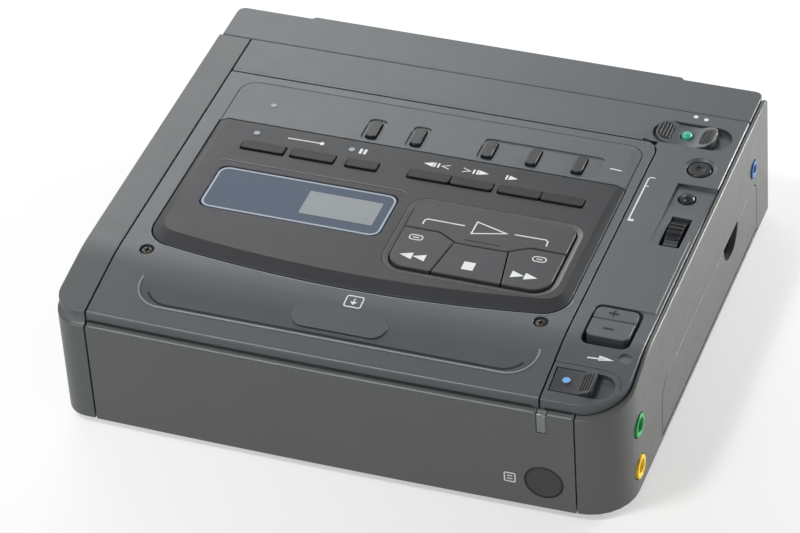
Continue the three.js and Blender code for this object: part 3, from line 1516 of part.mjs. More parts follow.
/** The pinch arm: its post, a flat arm and the roller that meets the capstan. */
function makePinchArm() {
  const armLow = chassisTop + pinchArmLift;
  const armTop = armLow + pinchArmThickness;
  const rollerX = lidCentre + pinchRollerShift;
  const rollerY = holderRear + pinchRollerRow;
  const length = Math.hypot(rollerX - pinchPivotX, rollerY - pinchPivotY);
  const turn = THREE.MathUtils.radToDeg(Math.atan2(rollerY - pinchPivotY, rollerX - pinchPivotX));
  const arm = prism(rounded(-pinchArmWidth / 2, length + pinchArmWidth / 2, -pinchArmWidth / 2,
    pinchArmWidth / 2, pinchArmWidth / 2, smallSteps), armLow, armTop)
    .rotate([0, 0, turn]).translate([pinchPivotX, pinchPivotY, 0]);
  return arm
    .add(post(pinchPivotX, pinchPivotY, pinchPostRadius, chassisTop + drumSeat, armTop + armTop - armLow,
      pinSides))
    .add(post(rollerX, rollerY, pinchRollerRadius, armTop - pinchArmThickness / 2, armTop + pinchRollerHeight,
      smallSides));
}

// Finishes
const shellBlack = { color: 0x5a5d5f, roughness: 0.55, metalness: 0.1 };
const lidGrey = { color: 0x60656a, roughness: 0.5, metalness: 0.15 };
const fasciaDark = { color: 0x48494b, roughness: 0.5, metalness: 0.1 };
const keyDark = { color: 0x3d3e40, roughness: 0.5, metalness: 0 };
const glassBlue = { color: 0x5f6c7c, roughness: 0.1, metalness: 0 };
const rubberBlack = { color: 0x202122, roughness: 0.9, metalness: 0 };
const steel = { color: 0xb4b6b8, roughness: 0.3, metalness: 1 };
const aluminium = { color: 0xc8cacc, roughness: 0.25, metalness: 1 };
const boardGreen = { color: 0x1f5a3a, roughness: 0.6, metalness: 0 };
const whitePlastic = { color: 0xdcdcd6, roughness: 0.5, metalness: 0 };
const lampClear = { color: 0xc9cbc6, roughness: 0.15, metalness: 0 };
const irDark = { color: 0x33342f, roughness: 0.2, metalness: 0 };
const ringGreen = { color: 0x28965a, roughness: 0.4, metalness: 0 };
const ringYellow = { color: 0xe1b432, roughness: 0.4, metalness: 0 };
const ringBlue = { color: 0x285a8c, roughness: 0.4, metalness: 0 };
const lockGreen = { color: 0x3c9682, roughness: 0.4, metalness: 0 };

/** One named mesh. */
function piece(name, solid, finish) {
  const mesh = new THREE.Mesh(toGeometry(solid), new THREE.MeshStandardMaterial(finish));
  mesh.name = name;
  return mesh;
}

const lidGroup = new THREE.Group();
lidGroup.add(piece('lid_cover', makeLidCover(), lidGrey));
lidGroup.add(piece('control_fascia', makeFascia(), fasciaDark));
lidGroup.add(piece('display_window', makeDisplayWindow(), glassBlue));
lidGroup.add(piece('key_tray', makeKeyTray(), keyDark));
const [leftScrewX, rightScrewX] = lidScrewPlaces();
lidGroup.add(piece('lid_screw_left', makeLidScrew(leftScrewX), steel));
lidGroup.add(piece('lid_screw_right', makeLidScrew(rightScrewX), steel));
for (const [name, start, length] of barKeys) lidGroup.add(piece(name, makeBarKey(start, length), keyDark));
for (const [name, start] of toolKeys) lidGroup.add(piece(name, makeToolButton(start), keyDark));
for (const [name, solid] of Object.entries(makeTransportKeys())) lidGroup.add(piece(name, solid, keyDark));

const controlGroup = new THREE.Group();
controlGroup.add(piece('power_slider', makePowerSlider(), keyDark));
controlGroup.add(piece('power_lock_button', makeLockButton(), lockGreen));
controlGroup.add(piece('link_button', makeLinkButton(), keyDark));
controlGroup.add(piece('menu_button', makeMenuButton(), keyDark));
controlGroup.add(piece('dial_frame', makeDialFrame(), keyDark));
controlGroup.add(piece('dial_wheel', makeDialWheel(), keyDark));
controlGroup.add(piece('volume_rocker', makeVolumeRocker(), keyDark));
controlGroup.add(piece('eject_slider', makeEjectSlider(), keyDark));

const caseGroup = new THREE.Group();
caseGroup.add(piece('bottom_cover', makeBottomCover(), shellBlack));
caseGroup.add(piece('front_panel', makeFrontPanel(), shellBlack));
caseGroup.add(piece('left_cover', makeLeftCover(), shellBlack));
caseGroup.add(piece('right_cover', makeRightCover(), shellBlack));
caseGroup.add(piece('back_cover', makeBackCover(), lidGrey));
caseGroup.add(piece('top_panel', makeTopPanel(), lidGrey));
caseGroup.add(piece('jack_door', makeJackDoor(), shellBlack));
caseGroup.add(piece('battery_plate', makeBatteryPlate(), keyDark));
caseGroup.add(piece('battery_latch', makeBatteryLatch(), keyDark));
const footNames = ['foot_front_left', 'foot_back_left', 'foot_front_right', 'foot_back_right'];
for (const [i, place] of footPlaces().entries()) {
  caseGroup.add(piece(footNames[i], makeFoot(place), rubberBlack));
}
caseGroup.add(piece('ir_window', makeIrWindow(), irDark));
caseGroup.add(piece('charge_lamp', makeChargeLamp(), lampClear));
caseGroup.add(piece('headphone_jack', jackSolid(jackY, headphoneHeight, jackRadius), ringGreen));
caseGroup.add(piece('line_jack', jackSolid(jackY, lineHeight, jackRadius), ringYellow));
caseGroup.add(piece('remote_jack', jackSolid(remoteY, remoteHeight, remoteRadius), ringBlue));
caseGroup.add(piece('video_socket', makeVideoSocket(), rubberBlack));
caseGroup.add(piece('digital_socket', makeDigitalSocket(), steel));

const deckGroup = new THREE.Group();
deckGroup.add(piece('main_board', makeMainBoard(), boardGreen));
deckGroup.add(piece('mechanism_chassis', makeChassis(), steel));
deckGroup.add(piece('drum_base', makeDrumBase(), aluminium));
deckGroup.add(piece('head_drum', makeHeadDrum(), aluminium));
deckGroup.add(piece('supply_reel', makeReel(-1), whitePlastic));
deckGroup.add(piece('takeup_reel', makeReel(1), whitePlastic));
deckGroup.add(piece('capstan', makeCapstan(), steel));
deckGroup.add(piece('pinch_arm', makePinchArm(), steel));
deckGroup.add(piece('cassette_holder', makeCassetteHolder(), steel));

const deck = new THREE.Group();
deck.add(caseGroup, lidGroup, controlGroup, deckGroup);
deck.position.z = footLift;

const group = new THREE.Group();
group.add(deck);

export default group;
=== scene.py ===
"""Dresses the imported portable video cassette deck: finishes, soft edges, prints, fittings and studio.

Sizes are written in millimetres and turned to metres where a mesh is made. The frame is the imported
model's own: X to the right, Y to the back, Z up, and the origin on the table under the middle.
"""

from __future__ import annotations

import json
import logging
import math
from contextlib import contextmanager
from dataclasses import dataclass, field
from enum import Enum
from typing import Iterable, Iterator, Sequence

import bmesh
import bpy
import numpy as np
from bmesh.types import BMEdge, BMesh, BMFace, BMLoop, BMVert
from bpy.types import Material, Mesh, Node, NodeSocket, NodeTree, Object
from mathutils import Matrix, Vector
from mathutils.bvhtree import BVHTree

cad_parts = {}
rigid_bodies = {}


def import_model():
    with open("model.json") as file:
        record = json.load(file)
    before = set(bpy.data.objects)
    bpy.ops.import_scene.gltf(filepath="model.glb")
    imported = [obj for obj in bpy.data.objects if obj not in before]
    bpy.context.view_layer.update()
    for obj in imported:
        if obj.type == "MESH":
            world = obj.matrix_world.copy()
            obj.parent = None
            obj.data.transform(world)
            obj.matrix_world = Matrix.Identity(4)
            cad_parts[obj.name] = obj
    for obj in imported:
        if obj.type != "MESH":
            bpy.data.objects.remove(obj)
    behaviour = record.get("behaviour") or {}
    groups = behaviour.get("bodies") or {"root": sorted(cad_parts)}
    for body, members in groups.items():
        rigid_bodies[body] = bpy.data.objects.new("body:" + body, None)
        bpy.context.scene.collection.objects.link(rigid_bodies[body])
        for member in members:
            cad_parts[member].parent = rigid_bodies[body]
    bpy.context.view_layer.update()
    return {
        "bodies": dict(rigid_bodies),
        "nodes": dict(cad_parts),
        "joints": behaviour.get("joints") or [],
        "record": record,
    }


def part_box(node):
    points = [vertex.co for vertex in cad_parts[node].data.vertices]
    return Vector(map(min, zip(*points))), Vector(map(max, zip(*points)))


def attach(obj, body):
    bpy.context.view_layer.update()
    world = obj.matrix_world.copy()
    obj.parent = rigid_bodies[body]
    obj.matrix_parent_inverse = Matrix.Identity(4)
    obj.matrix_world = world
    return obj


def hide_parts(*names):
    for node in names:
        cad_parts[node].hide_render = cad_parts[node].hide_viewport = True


LOG = logging.getLogger("cassette_deck")
MM = 0.001

Point = tuple[float, float]
Triple = tuple[float, float, float]
Loop = list[Point]
Box = tuple[float, float, float, float]

BOW_STEPS = 10
ROUND_STEPS = 3


class Grain(Enum):
    """What a mould or a tool leaves on a surface: the noise's layers, its stretch and its weight."""

    ERODED = (6.0, None, 1.0)
    SATIN = (2.0, None, 0.5)
    POLISHED = (1.0, None, 0.15)
    TURNED = (2.0, (0.25, 0.25, 3.0), 0.6)
    ROLLED = (4.0, (0.06, 1.0, 1.0), 0.5)
    BOARD = (1.0, (1.0, 0.12, 1.0), 0.8)


@dataclass
class Graph:
    """Adds nodes to a tree, with their inputs set or linked.

    Args:
        tree: The node tree of a material, a world or a modifier.
    """

    tree: NodeTree

    def fill(self, node: Node, inputs: dict[str | int, object]) -> None:
        """Sets a node's inputs, by name or number, to values or links them to outputs.

        Args:
            node: The node.
            inputs: The value or the output for each input.
        """
        for name, value in inputs.items():
            if isinstance(value, NodeSocket):
                self.tree.links.new(value, node.inputs[name])
            else:
                node.inputs[name].default_value = value

    def add(self, kind: str, inputs: dict[str | int, object] | None = None, **settings: object) -> Node:
        """Adds a node.

        Args:
            kind: The node's type.
            inputs: What each input is set or linked to, by name or number.
            settings: The node's own settings.

        Returns:
            The node.
        """
        node = self.tree.nodes.new(kind)
        for name, value in settings.items():
            setattr(node, name, value)
        self.fill(node, inputs or {})
        return node

    def ranged(self, source: NodeSocket, span: Point, result: Point, curve: str = "LINEAR"
               ) -> NodeSocket:
        """Maps an output from one span to another.

        Args:
            source: The output.
            span: Where its useful range starts and ends.
            result: What it becomes at the start and at the end.
            curve: How it runs between them.

        Returns:
            The mapped output.
        """
        inputs = {"Value": source, "From Min": span[0], "From Max": span[1], "To Min": result[0],
                  "To Max": result[1]}
        return self.add("ShaderNodeMapRange", inputs, interpolation_type=curve).outputs["Result"]

    def seen(self, share: float = 1.0) -> NodeSocket:
        """Gives a share for the rays that see, mirror or look through, and 0 for those that light.

        Args:
            share: What those rays get.

        Returns:
            The output.
        """
        path = self.add("ShaderNodeLightPath").outputs
        total = path["Is Camera Ray"]
        for name in ("Is Glossy Ray", "Is Transmission Ray"):
            total = self.add("ShaderNodeMath", {0: total, 1: path[name]}, operation="MAXIMUM").outputs[0]
        return self.add("ShaderNodeMath", {0: total, 1: share}, operation="MULTIPLY").outputs[0]

    def surface(self, one: NodeSocket, two: NodeSocket, leave: str, share: float = 1.0
                ) -> None:
        """Shows one shader to the rays that light, and mixes in a second by a share for those that see."""
        mix = self.add("ShaderNodeMixShader", {"Fac": self.seen(share), 1: one, 2: two})
        self.fill(self.tree.nodes[leave], {"Surface": mix.outputs["Shader"]})


@dataclass(frozen=True)
class Finish:
    """One finish of the deck, from which its material is made once.

    Args:
        name: The material's name.
        slot: The record's material slot that it belongs to; not used.
        colour: The colour as three sRGB values from 0 to 255.
        roughness: The middle of the roughness, which varies by `spread`.
        grain: The kind of surface.
        metallic: 1 for bare metal.
        pitch: The size of the grain in millimetres.
        relief: The depth of the grain in thousandths of a millimetre.
        mottle: How far the colour wanders, as a share.
        spread: How far the roughness wanders.
        edge: The radius at which edges catch the light, in millimetres.
        clear: How far light goes through.
        specular: The strength of the mirrored light, 0.5 for plain plastic.
    """

    name: str
    slot: str
    colour: tuple[int, int, int]
    roughness: float
    grain: Grain = Grain.ERODED
    metallic: float = 0.0
    pitch: float = 0.3
    relief: float = 6.0
    mottle: float = 0.05
    spread: float = 0.02
    edge: float = 0.2
    clear: float = 0.0
    specular: float = 0.5

    def linear(self, share: float = 1.0) -> tuple[float, float, float, float]:
        """Gives the colour in linear light, scaled by a share.

        Args:
            share: A factor on each channel.

        Returns:
            Red, green, blue and alpha.
        """
        channels = []
        for value in self.colour:
            level = value / 255
            level = level / 12.92 if level <= 0.04045 else ((level + 0.055) / 1.055) ** 2.4
            channels.append(min(1.0, level * share))
        return channels[0], channels[1], channels[2], 1.0

    def material(self) -> Material:
        """Gives this finish's material, and makes it the first time.

        Returns:
            The material.
        """
        found = bpy.data.materials.get(self.name)
        if found is not None:
            return found
        return MaterialMaker(self).make()


class MaterialMaker(Graph):
    """Builds the node tree of one finish."""

    useful = (0.3, 0.7)
    patches = 14.0
    specks = 0.7
    wear = 5.0

    def __init__(self, finish: Finish) -> None:
        """Starts an empty material for a finish.

        Args:
            finish: The finish.
        """
        self.finish = finish
        self.made = bpy.data.materials.new(finish.name)
        self.made.use_nodes = True
        super().__init__(self.made.node_tree)
        self.place = self.add("ShaderNodeTexCoord").outputs["Object"]

    def noise(self, size: float, detail: float, stretch: Triple | None = None) -> NodeSocket:
        """Adds a noise pattern whose features have a size in millimetres.

        Args:
            size: The size of a feature.
            detail: How many finer layers it has.
            stretch: Factors on the three axes, for a brushed or a rolled look.

        Returns:
            The factor output.
        """
        source = self.place
        if stretch is not None:
            source = self.add("ShaderNodeMapping", {"Scale": stretch, "Vector": source}).outputs["Vector"]
        inputs = {"Scale": 1 / (size * MM), "Detail": detail, "Vector": source}
        return self.add("ShaderNodeTexNoise", inputs).outputs["Fac"]

    def make(self) -> Material:
        """Joins colour, roughness and relief to the shader.

        Returns:
            The finished material.
        """
        finish = self.finish
        halves = [self.ranged(pattern, self.useful, (0.0, 0.5))
                  for pattern in (self.noise(self.patches, 2.0), self.noise(self.specks, 3.0))]
        total = self.add("ShaderNodeMath", dict(enumerate(halves)), operation="ADD")
        shades = {"Factor": total.outputs[0], "A": finish.linear(1 - finish.mottle),
                  "B": finish.linear(1 + finish.mottle)}
        colour = self.add("ShaderNodeMix", shades, data_type="RGBA")
        rough = self.ranged(self.noise(self.wear, 4.0), self.useful,
                            (finish.roughness - finish.spread, finish.roughness + finish.spread))
        detail, stretch, weight = finish.grain.value
        relief = self.add("ShaderNodeBump", {"Strength": weight, "Distance": finish.relief * MM * MM,
                                             "Height": self.noise(finish.pitch, detail, stretch)})
        if finish.edge > 0:
            soft = self.add("ShaderNodeBevel", {"Radius": finish.edge * MM}, samples=4)
            self.fill(relief, {"Normal": soft.outputs["Normal"]})
        self.fill(self.tree.nodes["Principled BSDF"],
                  {"Base Color": colour.outputs["Result"], "Roughness": rough, "Metallic": finish.metallic,
                   "Transmission Weight": finish.clear, "Specular IOR Level": finish.specular,
                   "Normal": relief.outputs["Normal"]})
        return self.made


SHELL = Finish("shell_grain", "shell_plastic", (74, 76, 74), 0.38)
COVER = Finish("cover_grain", "shell_plastic", (70, 74, 75), 0.42)
# Painted shade: dark lines laid in grooves and creases, behind the dish lip and round the infrared window,
# where shade falls.
PAINTED_SHADE = Finish("seam_shadow", "lid_plastic", (38, 41, 43), 0.6, Grain.POLISHED, edge=0.0, specular=0.2)
# Painted highlight: a lighter grey for the beads on the front lip, the raised area's foot and the dish lip,
# standing in for the light they catch.
BEAD_HIGHLIGHT = Finish("bead_paint", "lid_plastic", (116, 121, 122), 0.32, Grain.SATIN, pitch=0.25, relief=2.0)
LID = Finish("lid_paint", "lid_plastic", (68, 73, 76), 0.38, pitch=0.25, relief=4.0)
FASCIA = Finish("fascia_grain", "fascia_plastic", (45, 46, 48), 0.4, pitch=0.25, relief=4.0, specular=0.28)
# Painted highlight: a lighter grey for the slope round the transport keys and the line along the step above
# the window.
RIDGE_HIGHLIGHT = Finish("ridge_line", "fascia_plastic", (84, 86, 86), 0.4, Grain.SATIN)
KEY = Finish("key_satin", "key_plastic", (33, 34, 36), 0.38, Grain.SATIN, pitch=0.2, relief=3.0,
             specular=0.2)
SLIDE = Finish("slider_satin", "key_plastic", (66, 70, 73), 0.4, Grain.SATIN, pitch=0.2, relief=3.0)
GLOSS = Finish("button_gloss", "key_plastic", (40, 41, 43), 0.26, Grain.SATIN, pitch=0.3, relief=1.5,
               specular=0.25)
CAP = Finish("cap_satin", "key_plastic", (54, 55, 57), 0.4, Grain.SATIN, pitch=0.2, relief=3.0, specular=0.3)
WINDOW = Finish("window_gloss", "window_plastic", (50, 64, 84), 0.2, Grain.POLISHED, relief=1.0,
                mottle=0.01, spread=0.01, specular=0.15)
BORDER = Finish("window_border_ink", "window_plastic", (126, 136, 150), 0.3, Grain.POLISHED, edge=0.0)
SCREEN = Finish("display_glass", "window_plastic", (116, 122, 124), 0.3, Grain.SATIN, relief=1.0,
                specular=0.3)
LENS = Finish("lens_smoke", "window_plastic", (110, 124, 134), 0.25, Grain.POLISHED, relief=1.0)
RUBBER = Finish("foot_rubber", "foot_rubber", (34, 35, 36), 0.8, pitch=0.4, relief=12.0)
SHEET = Finish("sheet_steel", "steel", (172, 174, 176), 0.32, Grain.ROLLED, metallic=1.0, pitch=0.4,
               relief=3.0)
SCREW = Finish("black_screw", "steel", (78, 76, 70), 0.4, Grain.TURNED, metallic=1.0, pitch=0.3, relief=4.0)
CAST = Finish("turned_aluminium", "aluminium", (196, 198, 200), 0.24, Grain.TURNED, metallic=1.0, pitch=0.2,
              relief=3.0, mottle=0.03)
CONTACT = Finish("contact_plate", "steel", (206, 178, 112), 0.25, Grain.ROLLED, metallic=1.0, pitch=0.3,
                 relief=2.0)
BOARD = Finish("board_green", "board", (32, 88, 60), 0.45, Grain.BOARD, pitch=1.2, relief=20.0, mottle=0.2)
WHITE = Finish("reel_white", "white_plastic", (214, 214, 208), 0.4, Grain.SATIN)
LAMP = Finish("lamp_clear", "lamp_plastic", (150, 158, 154), 0.12, Grain.POLISHED, clear=0.6, relief=1.0)
INFRARED = Finish("infrared_dark", "ir_plastic", (36, 38, 36), 0.26, Grain.POLISHED, relief=1.0)
GREEN = Finish("ring_green", "green_plastic", (8, 142, 72), 0.34, Grain.SATIN)
YELLOW = Finish("ring_yellow", "yellow_plastic", (232, 190, 16), 0.34, Grain.SATIN)
BLUE = Finish("ring_blue", "blue_plastic", (24, 84, 146), 0.34, Grain.SATIN)
LOCK = Finish("lock_teal", "lock_plastic", (64, 160, 138), 0.3, Grain.SATIN)
DOT = Finish("dot_blue", "blue_plastic", (96, 152, 206), 0.4, Grain.POLISHED, edge=0.0)
SOCKET = Finish("socket_black", "socket_plastic", (36, 37, 38), 0.4, Grain.SATIN)
INK = Finish("print_ink", "lid_plastic", (206, 208, 206), 0.5, Grain.POLISHED, edge=0.0)


@contextmanager
def edited(mesh: Mesh) -> Iterator[BMesh]:
    """Opens a mesh for editing and writes it back afterwards.

    Args:
        mesh: The mesh.

    Yields:
        The mesh's body, to be changed.
    """
    solid = bmesh.new()
    solid.from_mesh(mesh)
    yield solid
    solid.to_mesh(mesh)
    solid.free()


def closed_mesh(solid: BMesh, name: str) -> Mesh:
    """Turns all faces of a drawn body outward and gives its mesh.

    Args:
        solid: The body, which this frees.
        name: The mesh's name.

    Returns:
        The mesh.
    """
    bmesh.ops.recalc_face_normals(solid, faces=solid.faces)
    made = bpy.data.meshes.new(name)
    solid.to_mesh(made)
    solid.free()
    return made


@dataclass(frozen=True)
class Rim:
    """A stretch of edge that is rounded more than the rest of its piece.

    Args:
        low: The lowest corner of the box that holds it, in millimetres.
        high: The highest corner.
        width: The width of its rounding in millimetres.
    """

    low: Triple
    high: Triple
    width: float

    def holds(self, edge: BMEdge) -> bool:
        """Says whether both ends of an edge lie in the box."""
        return all(self.low[axis] <= vertex.co[axis] / MM <= self.high[axis]
                   for vertex in edge.verts for axis in range(3))


@dataclass
class EdgeRounder:
    """Finds how widely each sharp edge of a mesh can be rounded, and weights it for the Bevel modifier.

    Args:
        solid: The closed mesh, in metres.
        width: The width that is asked for, in millimetres.
        rims: The stretches that ask for more.
        angle: Convex edges sharper than this many degrees are rounded.
        share: The share of the room between two rounded edges that each of them takes.
        piece: The length of the pieces that a long edge beside a narrow face is cut into.
        drift: How much the width may change from one such piece to the next.
        least: A narrower rounding is left out.
        joined: Edges that meet at a wider corner than this, in degrees, count as one run.
        folded: Two rounded edges that meet at a wider corner than this have room enough.
        aligned: Beside an edge that stays sharp, that is so at a wider corner than this.
        most: The most pieces that one edge is cut into.
        passes: How often the widths are evened at most.
    """

    solid: BMesh
    width: float
    rims: Sequence[Rim] = ()
    angle: float = 30.0
    share: float = 0.45
    piece: float = 4.0
    drift: float = 0.1
    least: float = 0.02
    joined: float = 130.0
    folded: float = 178.0
    aligned: float = 150.0
    most: int = 24
    passes: int = 200

    def sharp_edges(self) -> set[BMEdge]:
        """Gives the convex edges that are sharper than the angle.

        Returns:
            The edges.
        """
        limit = math.radians(self.angle)
        return {edge for edge in self.solid.edges if edge.is_manifold and edge.is_convex
                and edge.calc_face_angle(0.0) > limit}

    def asked(self, edge: BMEdge) -> float:
        """Gives the width that is asked for at an edge."""
        return max([self.width] + [rim.width for rim in self.rims if rim.holds(edge)])

    def corner_room(self, corner: BMLoop, edge: BMEdge, other: BMEdge,
                    sharp: set[BMEdge]) -> float:
        """Gives the room that the next edge of a face leaves at a corner.

        Args:
            corner: The loop whose vertex is the corner.
            edge: The edge to round.
            other: The face's other edge at that corner.
            sharp: All edges to be rounded.

        Returns:
            The widest rounding in millimetres.
        """
        turn = corner.calc_angle()
        length = other.calc_length() / MM
        if other in sharp:
            if not corner.is_convex or turn > math.radians(self.folded):
                return math.inf
            return self.share * min(length, edge.calc_length() / MM) * math.tan(turn / 2)
        if turn > math.radians(self.aligned):
            return math.inf
        far = other.other_vert(corner.vert)
        busy = any(linked in sharp for linked in far.link_edges)
        return (self.share if busy else 2 * self.share) * length * math.sin(turn)

    def face_rooms(self, face: BMFace, sharp: set[BMEdge],
                   rooms: dict[BMEdge, float]) -> None:
        """Lowers the rooms of a face's sharp edges to what the face allows.

        Args:
            face: The face.
            sharp: All edges to be rounded.
            rooms: The rooms found so far, which this lowers.
        """
        loops = list(face.loops)
        count = len(loops)
        if not any(loop.edge in sharp for loop in loops):
            return
        starts = np.array([loop.vert.co for loop in loops]) / MM
        ends = np.roll(starts, -1, axis=0)
        along = ends - starts
        squares = np.maximum((along ** 2).sum(axis=1), 1e-12)

        def reach(points: np.ndarray) -> np.ndarray:
            """Gives the distance of each point from each edge.

            Args:
                points: The points.

            Returns:
                One row for each point.
            """
            offset = points[:, None, :] - starts[None, :, :]
            place = np.clip((offset * along[None, :, :]).sum(axis=2) / squares[None, :], 0, 1)
            return np.linalg.norm(offset - place[:, :, None] * along[None, :, :], axis=2)

        near = np.minimum(reach(starts), reach(ends))
        near = np.minimum(near, near.T)
        stretch = [0] * count
        for index in range(1, count):
            loop = loops[index]
            joined = (loop.edge in sharp and loops[index - 1].edge in sharp
                      and loop.calc_angle() > math.radians(self.joined))
            stretch[index] = stretch[index - 1] + (0 if joined else 1)
        first = loops[0]
        wide = first.calc_angle() > math.radians(self.joined)
        if wide and first.edge in sharp and loops[-1].edge in sharp:
            stretch = [0 if mark == stretch[-1] else mark for mark in stretch]
        for index, loop in enumerate(loops):
            edge = loop.edge
            if edge not in sharp:
                continue
            room = min(self.corner_room(loop, edge, loop.link_loop_prev.edge, sharp),
                       self.corner_room(loop.link_loop_next, edge, loop.link_loop_next.edge, sharp))
            for other in range(count):
                if (other - index) % count in (0, 1, count - 1) or stretch[other] == stretch[index]:
                    continue
                share = self.share if loops[other].edge in sharp else 2 * self.share
                room = min(room, share * near[index, other])
            rooms[edge] = min(rooms[edge], room)

    def measure(self) -> dict[BMEdge, float]:
        """Gives the width of each sharp edge, from what is asked and what its two faces allow.

        Returns:
            The width of each edge in millimetres.
        """
        sharp = self.sharp_edges()
        rooms = {edge: self.asked(edge) for edge in sharp}
        for face in self.solid.faces:
            self.face_rooms(face, sharp, rooms)
        return rooms

    def split(self, rooms: dict[BMEdge, float]) -> int:
        """Cuts long edges that lie along a narrowing face into short pieces.

        Args:
            rooms: The width of each sharp edge.

        Returns:
            How many edges were cut.
        """
        cut = 0
        for edge, room in rooms.items():
            length = edge.calc_length() / MM
            if room > 0.95 * self.asked(edge) or length < 2 * self.piece:
                continue
            pieces = min(self.most, round(length / self.piece))
            tip = edge.verts[0]
            for left in range(pieces, 1, -1):
                _, tip = bmesh.utils.edge_split(edge, tip, 1 / left)
            cut += 1
        return cut

    def even(self, rooms: dict[BMEdge, float]) -> None:
        """Lets the width change only slowly along each run of edges.

        Args:
            rooms: The width of each edge, which this lowers.
        """
        pairs = []
        for vertex in self.solid.verts:
            here = [edge for edge in vertex.link_edges if edge in rooms]
            for index, edge in enumerate(here):
                for other in here[index + 1:]:
                    one = (edge.other_vert(vertex).co - vertex.co).normalized()
                    two = (vertex.co - other.other_vert(vertex).co).normalized()
                    turn = one.angle(two, 0.0)
                    if turn < math.radians(50) and (len(here) == 2 or turn < math.radians(20)):
                        short = min(edge.calc_length(), other.calc_length()) / MM
                        step = self.drift if turn < math.radians(0.1) else 0.3 * short * math.sin(turn)
                        pairs.append((edge, other, step))
        for _ in range(self.passes):
            changed = False
            for edge, other, step in pairs:
                for wide, thin in ((edge, other), (other, edge)):
                    if rooms[wide] > rooms[thin] + step + 1e-6:
                        rooms[wide] = rooms[thin] + step
                        changed = True
            if not changed:
                return

    def weigh(self) -> float:
        """Writes each edge's weight.

        Returns:
            The width in millimetres that a weight of 1 stands for.
        """
        layer = self.solid.edges.layers.float.new("bevel_weight_edge")
        rooms = self.measure()
        if self.split(rooms):
            rooms = self.measure()
        self.even(rooms)
        widest = max(rooms.values(), default=0.0)
        for edge, room in rooms.items():
            if room >= self.least:
                edge[layer] = room / widest
        thin = sum(1 for room in rooms.values() if room < self.least)
        LOG.info("  %d edges rounded up to %.2f mm, %d left sharp", len(rooms) - thin, widest, thin)
        return widest


